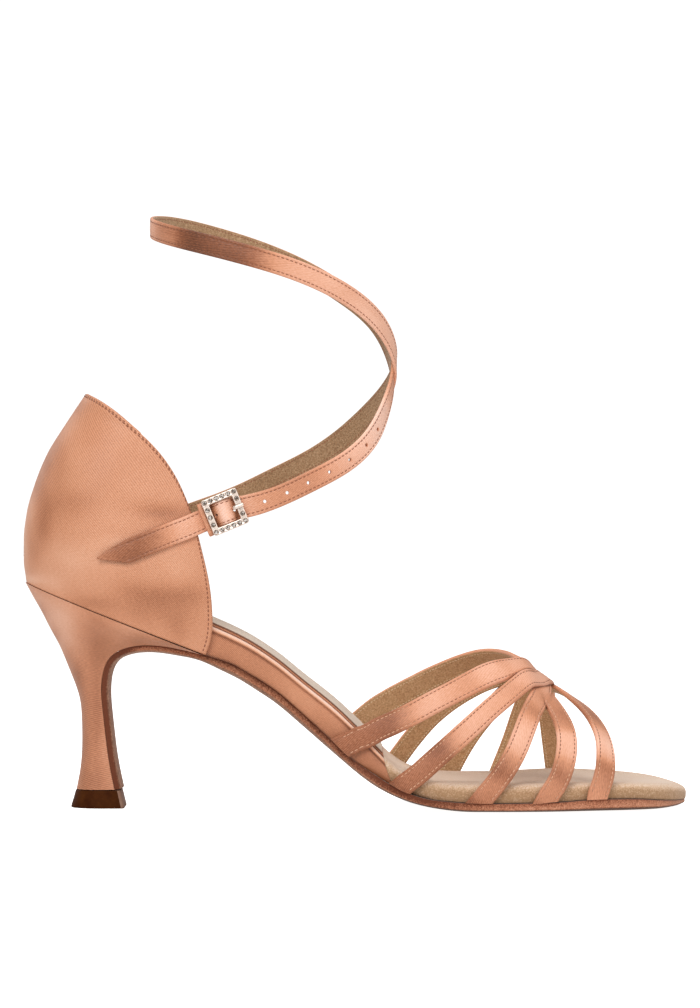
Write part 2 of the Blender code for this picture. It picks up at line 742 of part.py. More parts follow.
def make_ankle_strap(material, collection, cutters):
    """One long strap, from its sewn end to its pointed tail, with the hole that the prong is in."""
    points, facing, wave_start, wave_end = ankle_route()
    _, reach, _ = through(points, 2)
    where = np.r_[
        np.linspace(0, reach[wave_start], 84, endpoint=False),
        np.linspace(reach[wave_start], reach[wave_end - 1], 26, endpoint=False),
        np.linspace(reach[wave_end - 1], reach[-1], 14),
    ]
    centre, outward = spline(reach, points, where), spline(reach, facing, where)
    width = ANKLE_WIDTH * np.clip((reach[-1] - where) / TAIL_POINT, 0.08, 1)
    strap = loft("ankle_strap", band_rings(centre, outward, width, ANKLE_THICK), material, collection)
    turn = np.radians(np.arange(0, 360, 45))
    circle = np.stack([PRONG_HOLE + HOLE_RADIUS * np.cos(turn), HOLE_RADIUS * np.sin(turn)], -1)
    hole = [[(*point, out) for point in circle] for out in (-2.0, 3.0)]
    subtract(strap, loft("prong_hole", at_buckle(np.array(hole)), None, cutters))
    return strap


def make_buckle_frame(material, collection, cutters):
    """Square frame with a centre bar set behind it, on two short lugs."""
    side = FRAME_SIDE / 2
    low, high = FRAME_OUT, FRAME_OUT + FRAME_THICK
    inner = side - FRAME_BAR
    soft = 0.5
    outline = [
        (side, low),
        (side, high - soft),
        (side - soft, high),
        (inner + 0.3, high),
        (inner, high - 0.3),
        (inner, low),
    ]
    rings = []
    for corner in range(4):
        turn = math.radians(45 + 90 * corner)
        direction = np.array([math.cos(turn), math.sin(turn)]) * math.sqrt(2)
        rings.append([(*(direction * reach), out) for reach, out in outline])
    frame = closed_ring("buckle_frame", at_buckle(np.array(rings)), material, collection)
    turn = np.radians(np.arange(0, 360, 45))
    bar_end = inner + FRAME_BAR * 0.6
    round_bar = np.stack([BAR_RADIUS * np.cos(turn), 0 * turn, BAR_OUT + BAR_RADIUS * np.sin(turn)], -1)
    bar = np.stack([round_bar + [0, across, 0] for across in (-bar_end, bar_end)])
    join(frame, loft("centre_bar", at_buckle(bar), material, cutters))
    for end in (-1, 1):
        lug = []
        for out in (BAR_OUT - BAR_RADIUS - LUG_WALL, low + 0.5):
            near, far = end * (inner + 0.35), end * (inner + FRAME_BAR * 0.75)
            lug.append([(-0.8, near, out), (0.8, near, out), (0.8, far, out), (-0.8, far, out)])
        join(frame, loft(f"lug_{end + 1}", at_buckle(np.array(lug)), material, cutters))
    return frame


def combine(piece, other, operation):
    hide(other)
    modifier = piece.modifiers.new(other.name, "BOOLEAN")
    modifier.operation = operation
    modifier.object = other


def join(piece, other):
    combine(piece, other, "UNION")


def subtract(piece, other):
    combine(piece, other, "DIFFERENCE")


def make_buckle_prong(material, collection):
    """Prong: hooked round the centre bar, under the strap, up through its hole, over the front bar."""
    hook = BAR_RADIUS + GAP + PRONG_RADIUS
    turn = np.radians([270, 225, 180, 135, 90])
    around = np.stack([hook * np.cos(turn), BAR_OUT + hook * np.sin(turn)], -1)
    over = FRAME_OUT + FRAME_THICK + PRONG_RADIUS + GAP
    rise = [(1.2, -0.45), (2.2, -0.75), (2.95, -0.35), (PRONG_HOLE, 0.5), (3.2, 1.5), (3.3, 2.5)]
    tip = [(3.55, over - 0.3), (4.6, over), (5.8, over), (6.8, over - 0.1)]
    path = np.r_[around, rise, tip]
    centre, _, _ = through(np.stack([path[:, 0], 0 * path[:, 0], path[:, 1]], -1), 34)
    ahead = np.gradient(centre, axis=0)
    ahead /= np.linalg.norm(ahead, axis=1)[:, None]
    side = np.array([0.0, 1.0, 0.0])
    up = np.cross(ahead, side)
    wide, high = PRONG_RADIUS * 1.2, PRONG_RADIUS
    turn = np.radians(np.arange(0, 360, 60))
    rings = [centre + side * wide * math.cos(a) + up * high * math.sin(a) for a in turn]
    return loft("buckle_prong", at_buckle(np.stack(rings, 1)), material, collection)


def make_strap_keeper(material, collection):
    """Satin loop round the strap and the tab, close beside the frame."""
    wide = ANKLE_WIDTH / 2 + GAP + 0.1
    low, high = KEEPER_LOW, ANKLE_THICK / 2 + GAP
    rings = []
    for across, out in ((-1, 0), (1, 0), (1, 1), (-1, 1)):
        inside = (across * wide, low if out == 0 else high)
        outside = (across * (wide + KEEPER_WALL), low - KEEPER_WALL if out == 0 else high + KEEPER_WALL)
        start, end = KEEPER_ALONG - KEEPER_WIDTH / 2, KEEPER_ALONG + KEEPER_WIDTH / 2
        rings.append([(start, *inside), (end, *inside), (end, *outside), (start, *outside)])
    return closed_ring("strap_keeper", at_buckle(np.array(rings)), material, collection)


def make_buckle_tab(material, collection, cutters):
    """Tab from inside the counter's front edge to an eye round the centre bar, slotted for the prong."""
    hidden = [(-18.0, 2.6, -5.05), (-14.0, 1.2, -5.3), (-11.4, 0.4, -4.95)]
    middle = hidden + [(-8.5, 0.0, -3.1), (-6.2, 0.0, TAB_OUT), (-2.8, 0.0, TAB_OUT), (-0.9, 0.0, TAB_OUT)]
    centre, _, _ = through(middle, 18)
    ahead = np.gradient(centre, axis=0)
    ahead /= np.linalg.norm(ahead, axis=1)[:, None]
    outward = np.cross(np.array([0.0, 1.0, 0.0]), ahead)
    outward *= np.sign(outward[:, 2])[:, None]
    band = band_rings(centre, outward, TAB_WIDTH, TAB_THICK)
    tab = loft("buckle_tab", at_buckle(band), material, collection)
    inner = BAR_RADIUS + GAP
    outer = inner + EYE_THICK
    half = TAB_WIDTH / 2
    corners = ((inner, -half), (outer, -half), (outer, half), (inner, half))
    rings = []
    for a in np.radians(np.arange(0, 360, 30)):
        out, ahead_of_bar = math.sin(a), math.cos(a)
        rings.append([(reach * ahead_of_bar, across, BAR_OUT + reach * out) for reach, across in corners])
    join(tab, closed_ring("tab_eye", at_buckle(np.array(rings)), material, cutters))
    corners = ((-2.4, -PRONG_SLOT), (2.6, -PRONG_SLOT), (2.6, PRONG_SLOT), (-2.4, PRONG_SLOT))
    slot = [[(*corner, out) for corner in corners] for out in (-4.5, 1.5)]
    subtract(tab, loft("prong_slot", at_buckle(np.array(slot)), None, cutters))
    return tab


def clear_scene():
    for piece in list(bpy.data.objects):
        bpy.data.objects.remove(piece, do_unlink=True)


def new_collection(name):
    collection = bpy.data.collections.new(name)
    bpy.context.scene.collection.children.link(collection)
    return collection


def main():
    clear_scene()
    shoe = new_collection("latin_dance_shoe")
    cutters = new_collection("cutters")
    satin = new_material("peach satin", (0.75, 0.42, 0.27), 0.35)
    suede = new_material("sole suede", (0.48, 0.30, 0.22), 0.9)
    wrap = new_material("insole suede", (0.50, 0.38, 0.25), 0.85)
    sock = new_material("sock leather", (0.62, 0.54, 0.43), 0.7)
    plastic = new_material("heel tip plastic", (0.12, 0.06, 0.04), 0.5)
    metal = new_material("rose white metal", (0.85, 0.72, 0.66), 0.2, 1.0)
    make_outsole(suede, shoe)
    make_heel(satin, shoe)
    make_heel_tip(plastic, shoe)
    make_insole_board(satin, shoe)
    make_insole_forefoot(wrap, shoe)
    make_sock_lining(sock, shoe)
    make_heel_counter(satin, shoe)
    make_vamp_straps(satin, shoe, cutters)
    make_ankle_strap(satin, shoe, cutters)
    make_buckle_tab(satin, shoe, cutters)
    make_buckle_frame(metal, shoe, cutters)
    make_buckle_prong(metal, shoe)
    make_strap_keeper(satin, shoe)


main()
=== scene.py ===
# %% [markdown]
# # A latin dance shoe for the right foot
#
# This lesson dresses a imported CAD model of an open-toe ballroom sandal: peach satin straps and counter,
# a satin heel, suede sole and insole, and a small buckle with stones. The CAD model is loaded first as a
# fixed frame. Each later cell makes one piece of the real shoe as a surface worked out with numpy.
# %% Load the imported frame
import math

import bmesh
import bpy
import numpy as np
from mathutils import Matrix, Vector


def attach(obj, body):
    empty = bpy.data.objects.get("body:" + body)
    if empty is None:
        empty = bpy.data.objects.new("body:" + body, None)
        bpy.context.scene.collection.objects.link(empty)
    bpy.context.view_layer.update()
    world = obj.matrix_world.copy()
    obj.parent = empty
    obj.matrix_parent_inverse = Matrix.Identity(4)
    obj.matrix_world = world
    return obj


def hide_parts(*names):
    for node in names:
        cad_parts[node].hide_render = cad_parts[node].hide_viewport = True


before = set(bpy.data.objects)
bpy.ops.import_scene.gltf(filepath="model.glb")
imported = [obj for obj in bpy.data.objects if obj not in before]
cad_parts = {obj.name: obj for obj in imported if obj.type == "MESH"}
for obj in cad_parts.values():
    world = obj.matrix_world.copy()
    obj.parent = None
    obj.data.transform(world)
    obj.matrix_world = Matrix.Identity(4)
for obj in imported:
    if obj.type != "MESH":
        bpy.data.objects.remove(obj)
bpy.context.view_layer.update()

MM = 0.001

# %% [markdown]
# ## Camera
#
# The shoe is seen square from its outer side, from 1.4 m away. A long lens that far off keeps the near and
# far straps almost the same size, as a product picture does. The eye is level with the heel counter, so the
# insole shows as a thin band. Colours are shown with the plain transform, because a product picture on
# white keeps its whites pure and its satin bright.
# %% Set the camera
EYE = (0.0856, -1.4, 0.103)
camera_data = bpy.data.cameras.new("camera")
camera_data.lens = 147.0
camera_data.sensor_width = 36.0
camera = bpy.data.objects.new("camera", camera_data)
camera.location = EYE
camera.rotation_euler = (math.radians(90), 0.0, 0.0)
bpy.context.scene.collection.objects.link(camera)
bpy.context.scene.camera = camera
bpy.context.scene.view_settings.view_transform = "Standard"
print("camera at", tuple(camera.location), "lens", camera_data.lens)

# %% [markdown]
# ## Floor and light
#
# A white studio sweep has no visible edge. Here the floor is one wide disc, and the world behind it is the
# same white, so the horizon disappears. The light itself comes from large soft boxes: satin shows the
# shape of a lamp as a broad soft band, and small lamps would give it hard spots. Seen from below, the floor
# is clear, also for a ray of under 3 mm, which is one that starts at a face standing on it.
# %% Make the floor and the lamps
FLOOR_CLEAR_RAY = 3 * MM
FLOOR_MIDDLE_X, FLOOR_REACH, FLOOR_CORNERS = 0.09, 4.0, 96


def shader_nodes(tree, kind, **inputs):
    """A new node with its inputs set to numbers, colours or other nodes' outputs."""
    made = tree.nodes.new(kind)
    for name, value in inputs.items():
        socket = made.inputs[int(name[1:])] if name[0] == "i" and name[1:].isdigit() else None
        socket = socket or made.inputs[name.replace("_", " ")]
        if isinstance(value, bpy.types.NodeSocket):
            tree.links.new(value, socket)
        else:
            socket.default_value = value
    return made


def floor_material():
    """White paper that glows a little for the camera.

    It is clear from below, and for the short rays of faces that stand on it, so that an underside isn't
    black.
    """
    material = bpy.data.materials.new("floor paper")
    material.use_nodes = True
    tree = material.node_tree
    tree.nodes.clear()
    paper = shader_nodes(tree, "ShaderNodeBsdfDiffuse", Color=(0.85, 0.85, 0.85, 1))
    glow = shader_nodes(tree, "ShaderNodeEmission", Color=(1, 1, 1, 1), Strength=0.95)
    both = shader_nodes(tree, "ShaderNodeAddShader", i0=paper.outputs[0], i1=glow.outputs[0])
    path = tree.nodes.new("ShaderNodeLightPath")
    seen = shader_nodes(tree, "ShaderNodeMixShader", i0=path.outputs["Is Camera Ray"],
                        i1=paper.outputs[0], i2=both.outputs[0])
    side = tree.nodes.new("ShaderNodeNewGeometry")
    near = shader_nodes(tree, "ShaderNodeMath", i0=path.outputs["Ray Length"], i1=FLOOR_CLEAR_RAY)
    near.operation = "LESS_THAN"
    either = shader_nodes(tree, "ShaderNodeMath", i0=side.outputs["Backfacing"], i1=near.outputs[0])
    either.operation = "MAXIMUM"
    clear = tree.nodes.new("ShaderNodeBsdfTransparent")
    last = shader_nodes(tree, "ShaderNodeMixShader", i0=either.outputs[0],
                        i1=seen.outputs[0], i2=clear.outputs[0])
    shader_nodes(tree, "ShaderNodeOutputMaterial", Surface=last.outputs[0])
    return material


def set_world():
    """Even white for the camera, and a dimmer white for the light on the shoe."""
    world = bpy.data.worlds.new("studio")
    world.use_nodes = True
    tree = world.node_tree
    tree.nodes.clear()
    path = tree.nodes.new("ShaderNodeLightPath")
    room = shader_nodes(tree, "ShaderNodeBackground", Color=(1.0, 0.97, 0.95, 1), Strength=0.35)
    white = shader_nodes(tree, "ShaderNodeBackground", Color=(1, 1, 1, 1), Strength=1.1)
    both = shader_nodes(tree, "ShaderNodeMixShader", i0=path.outputs["Is Camera Ray"],
                        i1=room.outputs[0], i2=white.outputs[0])
    shader_nodes(tree, "ShaderNodeOutputWorld", Surface=both.outputs[0])
    bpy.context.scene.world = world


def soft_box(name, place, target, size, power):
    """A square lamp turned to its target."""
    lamp = bpy.data.lights.new(name, "AREA")
    lamp.shape = "RECTANGLE"
    lamp.size, lamp.size_y = size
    lamp.energy = power
    box = bpy.data.objects.new(name, lamp)
    box.location = place
    toward = Vector(target) - Vector(place)
    box.rotation_euler = toward.to_track_quat("-Z", "Y").to_euler()
    bpy.context.scene.collection.objects.link(box)


turn = np.linspace(0, 2 * math.pi, FLOOR_CORNERS, endpoint=False)
disc = np.stack([FLOOR_MIDDLE_X + FLOOR_REACH * np.cos(turn), FLOOR_REACH * np.sin(turn), 0 * turn], -1)
floor_mesh = bpy.data.meshes.new("floor")
floor_mesh.from_pydata(disc.tolist(), [], [tuple(range(FLOOR_CORNERS))])
floor_mesh.materials.append(floor_material())
floor = bpy.data.objects.new("floor", floor_mesh)
bpy.context.scene.collection.objects.link(floor)
set_world()
soft_box("key_light", (-0.35, -1.15, 0.9), (0.05, 0, 0.08), (0.7, 0.7), 9.0)
soft_box("fill_light", (1.0, -0.95, 0.45), (0.1, 0, 0.06), (0.7, 0.9), 3.5)
soft_box("top_light", (0.15, 0.05, 1.1), (0.09, 0, 0.05), (0.9, 0.6), 5.0)
soft_box("back_light", (-0.7, 0.75, 0.5), (0.0, 0, 0.09), (0.5, 0.7), 1.5)

# %% [markdown]
# ## Curves from short tables
#
# A shoemaker's last is known by a few measured lines: its plan, its side view, its cup at the heel. Each
# line is a short table here, and a smooth curve is laid through the rows. One kind of curve never
# overshoots its rows, which suits widths, and the other bends evenly, which suits lines that one sees.
# %% Define the curves
def table(names, rows):
    """Columns by name, from rows of numbers."""
    return dict(zip(names.split(), np.array(rows, float).T))


def smooth(knots, values, where):
    """Cubic between knots, with the harmonic mean of the two slopes at each knot: it never overshoots."""
    step = np.diff(knots)
    rise = np.diff(values) / step
    slope = np.zeros(len(values))
    slope[0], slope[-1] = rise[0], rise[-1]
    turn = rise[:-1] * rise[1:]
    same = turn > 0
    slope[1:-1][same] = 2 * turn[same] / (rise[:-1] + rise[1:])[same]
    where = np.clip(where, knots[0], knots[-1])
    at = np.clip(np.searchsorted(knots, where) - 1, 0, len(step) - 1)
    t = (where - knots[at]) / step[at]
    low = (1 + 2 * t) * (1 - t) ** 2 * values[at] + t * (1 - t) ** 2 * step[at] * slope[at]
    high = t * t * (3 - 2 * t) * values[at + 1] + t * t * (t - 1) * step[at] * slope[at + 1]
    return low + high


def spline(knots, values, where):
    """Natural cubic spline: the second derivative at each knot solves a three-term system."""
    knots = np.asarray(knots, float)
    values = np.asarray(values, float).reshape(len(knots), -1)
    step = np.diff(knots)[:, None]
    count = len(knots)
    system = np.eye(count)
    right = np.zeros(values.shape)
    for i in range(1, count - 1):
        system[i, i - 1:i + 2] = step[i - 1, 0], 2 * (step[i - 1, 0] + step[i, 0]), step[i, 0]
        right[i] = 6 * ((values[i + 1] - values[i]) / step[i] - (values[i] - values[i - 1]) / step[i - 1])
    bend = np.linalg.solve(system, right)
    at = np.clip(np.searchsorted(knots, where) - 1, 0, count - 2)
    h = step[at]
    a = (knots[at + 1] - where)[:, None] / h
    b = 1 - a
    curve = a * values[at] + b * values[at + 1]
    return curve + ((a ** 3 - a) * bend[at] + (b ** 3 - b) * bend[at + 1]) * h * h / 6


def lengths(points):
    """Distance along a line of points, from its first."""
    return np.r_[0, np.cumsum(np.linalg.norm(np.diff(points, axis=0), axis=1))]


def through(points, count):
    """Evenly spread points on the natural spline through the given ones."""
    points = np.asarray(points, float)
    reach = lengths(points)
    return spline(reach, points, np.linspace(0, reach[-1], count))


def unit(vectors):
    """Each vector over its own length."""
    return vectors / np.maximum(np.linalg.norm(vectors, axis=-1, keepdims=True), 1e-9)


def ease(value, start, end):
    """Smooth step from 0 at start to 1 at end."""
    t = np.clip((value - start) / (end - start), 0, 1)
    return t * t * (3 - 2 * t)


print("middle of a smooth curve:", smooth(np.array([0.0, 1, 2]), np.array([0.0, 1, 1]), 1.5))

# %% [markdown]
# ## From a grid to a mesh
#
# Every piece below is a grid of points: rows along the piece and columns round it. Cloth also needs to know
# which way its threads run, so each corner of the grid carries its place on the cloth in millimetres as a
# UV pair. A point value called tone paints light and shade into the colour: painted highlights, and painted
# shade in creases, joints and under edges.
# %% Build a piece from a grid
def grid_quads(rows, columns, wrap_rows, wrap_columns):
    """Corner numbers of the quads between neighbours in a grid, and the grid cell of each."""
    r = np.arange(rows if wrap_rows else rows - 1)[:, None]
    c = np.arange(columns if wrap_columns else columns - 1)[None, :]
    r, c = np.broadcast_arrays(r, c)
    r, c = r.ravel(), c.ravel()
    r2, c2 = (r + 1) % rows, (c + 1) % columns
    corners = np.stack([r * columns + c, r * columns + c2, r2 * columns + c2, r2 * columns + c], -1)
    return corners, r, c


def give_cloth(mesh, corner):
    """The place of each face corner on the cloth, as the UV map that the satin reads."""
    ends = np.zeros((len(mesh.loops) - len(corner), 2))
    layer = mesh.uv_layers.new(name="cloth")
    layer.data.foreach_set("uv", np.r_[corner, ends].astype(np.float32).ravel())


def give_tone(mesh, tone):
    """The tone of each point, as the value that the satin, suede and thread read."""
    values = mesh.attributes.new("tone", "FLOAT", "POINT")
    values.data.foreach_set("value", np.asarray(tone, np.float32).ravel())


def surface(name, points, materials, wrap=(False, True), caps=True, uv=None, tone=None, pick=None, sharp=38):
    """A piece from points[row, column] in millimetres, closed in a ring where wrap says so.

    uv[row, column] is the place on the cloth, with one more row or column where the grid wraps, and
    pick(row, column) gives the number of the material for each cell.
    """
    points = np.asarray(points, float)
    rows, columns = points.shape[:2]
    quads, r, c = grid_quads(rows, columns, *wrap)
    faces = quads.tolist()
    if caps:
        faces += [list(range(columns)), list(range((rows - 1) * columns, rows * columns))]
    mesh = bpy.data.meshes.new(name)
    mesh.from_pydata((points.reshape(-1, 3) * MM).tolist(), [], faces)
    if uv is not None:
        corner = np.stack([uv[r, c], uv[r, c + 1], uv[r + 1, c + 1], uv[r + 1, c]], 1)
        give_cloth(mesh, corner.reshape(-1, 2))
    if tone is not None:
        give_tone(mesh, tone)
    for material in materials:
        mesh.materials.append(material)
    if pick is not None:
        index = np.zeros(len(faces), np.int32)
        index[:len(r)] = pick(r, c)
        mesh.polygons.foreach_set("material_index", index)
    return finish_piece(name, mesh, sharp)


def finish_piece(name, mesh, sharp=38):
    """Closes seams and poles, turns the faces outwards, and shades them smooth but for sharp edges."""
    work = bmesh.new()
    work.from_mesh(mesh)
    bmesh.ops.remove_doubles(work, verts=work.verts, dist=2e-6)
    bmesh.ops.dissolve_degenerate(work, edges=work.edges, dist=1e-7)
    bmesh.ops.recalc_face_normals(work, faces=work.faces)
    work.to_mesh(mesh)
    work.free()
    mesh.shade_smooth()
    mesh.set_sharp_from_angle(angle=math.radians(sharp))
    piece = bpy.data.objects.new(name, mesh)
    bpy.context.scene.collection.objects.link(piece)
    return piece


def wear(piece, slot, *nodes):
    """The piece rides on the shoe and stands for its CAD nodes, which are hidden. slot is not used."""
    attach(piece, "root")
    if nodes:
        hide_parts(*nodes)
    print(f"{piece.name}: {len(piece.data.polygons)} faces")
    return piece


# %% [markdown]
# ## Satin
#
# Dance satin floats its threads on the face, so it is smooth along them and finely ribbed across. It could
# be painted as a picture, but a picture would blur up close. Here the ribs, the streaks of single threads
# and the slow drift of colour are three patterns on the cloth's own UV map, and the tone value adds the
# painted highlights and painted shade. Sheen and an anisotropic gloss, set along the threads, give the
# silky band.
# %% Mix the satin
def new_material(name):
    """An empty node material, its node tree and its main shader."""
    material = bpy.data.materials.new(name)
    material.use_nodes = True
    tree = material.node_tree
    return material, tree, tree.nodes["Principled BSDF"]


def set_inputs(shader, **inputs):
    """Numbers or colours set on the shader itself, or other nodes linked to it."""
    for name, value in inputs.items():
        socket = shader.inputs[name.replace("_", " ")]
        if isinstance(value, bpy.types.NodeSocket):
            shader.id_data.links.new(value, socket)
        else:
            socket.default_value = value


def math_node(tree, operation, first, second=0.0, clamp=False):
    """One sum, product or other operation on two values."""
    made = tree.nodes.new("ShaderNodeMath")
    made.operation = operation
    made.use_clamp = clamp
    for socket, value in zip(made.inputs, (first, second)):
        if isinstance(value, bpy.types.NodeSocket):
            tree.links.new(value, socket)
        else:
            socket.default_value = value
    return made.outputs[0]


def noise(tree, vector, scale, detail=2.0, rough=0.5):
    """Smooth random values round 0.5 on a vector."""
    made = shader_nodes(tree, "ShaderNodeTexNoise", Vector=vector, Scale=scale, Detail=detail, Roughness=rough)
    return made.outputs["Fac"]


def colour_ramp(tree, value, stops):
    """Colours at places from 0 to 1, mixed evenly between them."""
    made = shader_nodes(tree, "ShaderNodeValToRGB", Fac=value)
    ramp = made.color_ramp
    for place, colour in stops[2:]:
        ramp.elements.new(place)
    for element, (place, colour) in zip(ramp.elements, sorted(stops)):
        element.position = place
        element.color = (*colour, 1.0)
    return made.outputs["Color"]


def cloth_place(tree, turn=0.0, stretch=(1.0, 1.0)):
    """The UV place on the cloth in millimetres, turned in degrees and then stretched."""
    place = tree.nodes.new("ShaderNodeUVMap")
    place.uv_map = "cloth"
    scale = (*stretch, 1.0)
    mapping = shader_nodes(tree, "ShaderNodeMapping", Vector=place.outputs[0], Scale=scale,
                           Rotation=(0.0, 0.0, math.radians(turn)))
    return mapping.outputs[0]


def tone_value(tree):
    """The tone that the piece's points carry."""
    tone = tree.nodes.new("ShaderNodeAttribute")
    tone.attribute_name = "tone"
    return tone.outputs["Fac"]


# A wave texture of scale 1 repeats each 0.314 units, which is a tenth of pi.
WAVE_PERIOD, SATIN_ROUGHNESS = 0.314, 0.42


def satin(name, dark, middle, light, rib_turn, rib_pitch, rib_tone=0.09):
    """Satin in three tones of one colour. Its height is fine ribs, which are sine waves, plus threads.

    Beyond the dark tone lies a deep one for painted shade in creases, and beyond the light one a pale one
    for painted glints.
    """
    material, tree, shader = new_material(name)
    ribs = shader_nodes(tree, "ShaderNodeTexWave", Vector=cloth_place(tree, rib_turn),
                        Scale=WAVE_PERIOD / rib_pitch, Distortion=0.7, Detail=2.0)
    ribs.bands_direction = "Y"
    ribs.inputs["Detail Scale"].default_value = 1.5
    threads = noise(tree, cloth_place(tree, rib_turn, (0.9, 3.2)), 1.0, 3.0, 0.65)
    drift = noise(tree, cloth_place(tree, 0.0), 0.05, 2.0)
    # The tone paints highlights and shade into the satin's colour.
    level = math_node(tree, "MULTIPLY_ADD", tone_value(tree), 0.36)
    level.node.inputs[2].default_value = 0.5
    soft = math_node(tree, "SUBTRACT", drift, 0.5)
    fine = math_node(tree, "SUBTRACT", threads, 0.5)
    rib = math_node(tree, "SUBTRACT", ribs.outputs["Fac"], 0.5)
    level = math_node(tree, "ADD", level, math_node(tree, "MULTIPLY", soft, 0.20))
    level = math_node(tree, "ADD", level, math_node(tree, "MULTIPLY", fine, 0.42))
    level = math_node(tree, "ADD", level, math_node(tree, "MULTIPLY", rib, rib_tone), clamp=True)
    deep, pale = np.array(dark) * 0.25, np.array(light) * 0.7 + 0.3
    stops = [(0.0, deep), (0.22, dark), (0.5, middle), (0.78, light), (1.0, pale)]
    colour = colour_ramp(tree, level, stops)
    height = math_node(tree, "ADD", math_node(tree, "MULTIPLY", ribs.outputs["Fac"], 0.6), threads)
    bump = shader_nodes(tree, "ShaderNodeBump", Height=height, Strength=0.35, Distance=0.00015)
    rough = math_node(tree, "ADD", math_node(tree, "MULTIPLY", fine, 0.30), SATIN_ROUGHNESS)
    tangent = tree.nodes.new("ShaderNodeTangent")
    tangent.direction_type = "UV_MAP"
    tangent.uv_map = "cloth"
    set_inputs(shader, Base_Color=colour, Normal=bump.outputs[0], Roughness=rough, Anisotropic=0.55,
               Tangent=tangent.outputs[0], Sheen_Weight=0.14, Sheen_Roughness=0.35,
               Sheen_Tint=(1.0, 0.80, 0.70, 1.0), Specular_IOR_Level=0.42)
    return material


peach_satin = satin("peach satin", (0.34, 0.115, 0.05), (0.74, 0.325, 0.18), (1.0, 0.58, 0.42), 18, 0.6)
counter_satin = satin("counter satin", (0.36, 0.125, 0.055), (0.69, 0.30, 0.16), (0.90, 0.51, 0.34),
                      -30, 0.65, 0.17)
heel_satin = satin("heel satin", (0.34, 0.12, 0.055), (0.68, 0.295, 0.16), (0.92, 0.54, 0.38), -14, 0.65, 0.15)
print("satins:", peach_satin.name, counter_satin.name, heel_satin.name)

# %% [markdown]
# ## Suede, lining, plastic, metal and thread
#
# The sole is brushed chrome suede: its nap scatters light, so it is rough and speckled, never glossy. The
# lining and the toe insole are a finer tan suede. These patterns have no thread direction, so they read
# the object's own coordinates, which hold still wherever the camera stands. Thread takes the tone of its
# stitch as painted shade: it is painted pale on dark satin, and dark, as the shade of its dimple, on light
# satin.
# %% Mix the other finishes
def object_place(tree):
    """The place in the shoe's own frame, in metres."""
    return tree.nodes.new("ShaderNodeTexCoord").outputs["Object"]


def suede(name, dark, middle, light, grain, depth):
    """Napped leather: speckles of three tones with a fine bump, a slow drift of colour, and the tone value,
    which paints light and shade.
    """
    material, tree, shader = new_material(name)
    place = object_place(tree)
    speckle = noise(tree, place, grain, 3.0, 0.6)
    nap = noise(tree, place, grain * 0.35, 2.0)
    drift = noise(tree, place, 45.0, 2.0)
    level = math_node(tree, "ADD", math_node(tree, "MULTIPLY", speckle, 0.72),
                      math_node(tree, "MULTIPLY", nap, 0.13))
    level = math_node(tree, "ADD", level, math_node(tree, "MULTIPLY", drift, 0.15))
    level = math_node(tree, "ADD", level, math_node(tree, "MULTIPLY", tone_value(tree), 0.3))
    colour = colour_ramp(tree, level, [(0.30, dark), (0.5, middle), (0.70, light)])
    height = math_node(tree, "ADD", speckle, nap)
    bump = shader_nodes(tree, "ShaderNodeBump", Height=height, Strength=depth, Distance=0.00025)
    set_inputs(shader, Base_Color=colour, Normal=bump.outputs[0], Roughness=0.93, Sheen_Weight=0.35,
               Sheen_Roughness=0.5, Sheen_Tint=(1.0, 0.88, 0.78, 1.0), Specular_IOR_Level=0.2)
    return material


def moulded(name, dark, light, gloss, metallic=0.0, scratch=260.0, specular=0.5):
    """Plastic or plated metal: faint handling marks in its gloss and a trace of unevenness."""
    material, tree, shader = new_material(name)
    place = object_place(tree)
    marks = noise(tree, place, scratch, 4.0, 0.65)
    colour = colour_ramp(tree, marks, [(0.3, dark), (0.7, light)])
    rough = math_node(tree, "ADD", math_node(tree, "MULTIPLY", marks, 0.25), gloss - 0.12)
    bump = shader_nodes(tree, "ShaderNodeBump", Height=noise(tree, place, 900.0), Strength=0.06,
                        Distance=0.0001)
    set_inputs(shader, Base_Color=colour, Normal=bump.outputs[0], Roughness=rough, Metallic=metallic,
               Specular_IOR_Level=specular)
    return material


def thread(name, dark, light):
    """Sewing thread: twisted plies as fine slanting ribs, a little glossy."""
    material, tree, shader = new_material(name)
    place = object_place(tree)
    plies = shader_nodes(tree, "ShaderNodeTexWave", Vector=place, Scale=900.0, Distortion=2.0)
    shade = noise(tree, place, 500.0)
    level = math_node(tree, "ADD", math_node(tree, "MULTIPLY", plies.outputs["Fac"], 0.2),
                      math_node(tree, "MULTIPLY", shade, 0.4))
    # Subtracting the tone paints the thread darker on light satin, as the shade of its dimple, and paler on
    # dark satin.
    level = math_node(tree, "SUBTRACT", level, tone_value(tree), clamp=True)
    colour = colour_ramp(tree, level, [(0.25, dark), (0.75, light)])
    bump = shader_nodes(tree, "ShaderNodeBump", Height=plies.outputs["Fac"], Strength=0.3, Distance=0.00005)
    set_inputs(shader, Base_Color=colour, Normal=bump.outputs[0], Roughness=0.55, Sheen_Weight=0.2)
    return material


sole_suede = suede("sole suede", (0.14, 0.055, 0.03), (0.34, 0.16, 0.095), (0.56, 0.31, 0.20), 1500.0, 0.7)
sole_edge = suede("sole edge", (0.16, 0.045, 0.02), (0.50, 0.195, 0.105), (0.80, 0.41, 0.26), 2400.0, 0.6)
insole_suede = suede("insole suede", (0.43, 0.25, 0.13), (0.67, 0.45, 0.29), (0.82, 0.66, 0.54), 2100.0, 0.4)
sock_leather = suede("sock leather", (0.52, 0.42, 0.33), (0.67, 0.56, 0.46), (0.80, 0.70, 0.60), 1700.0, 0.2)
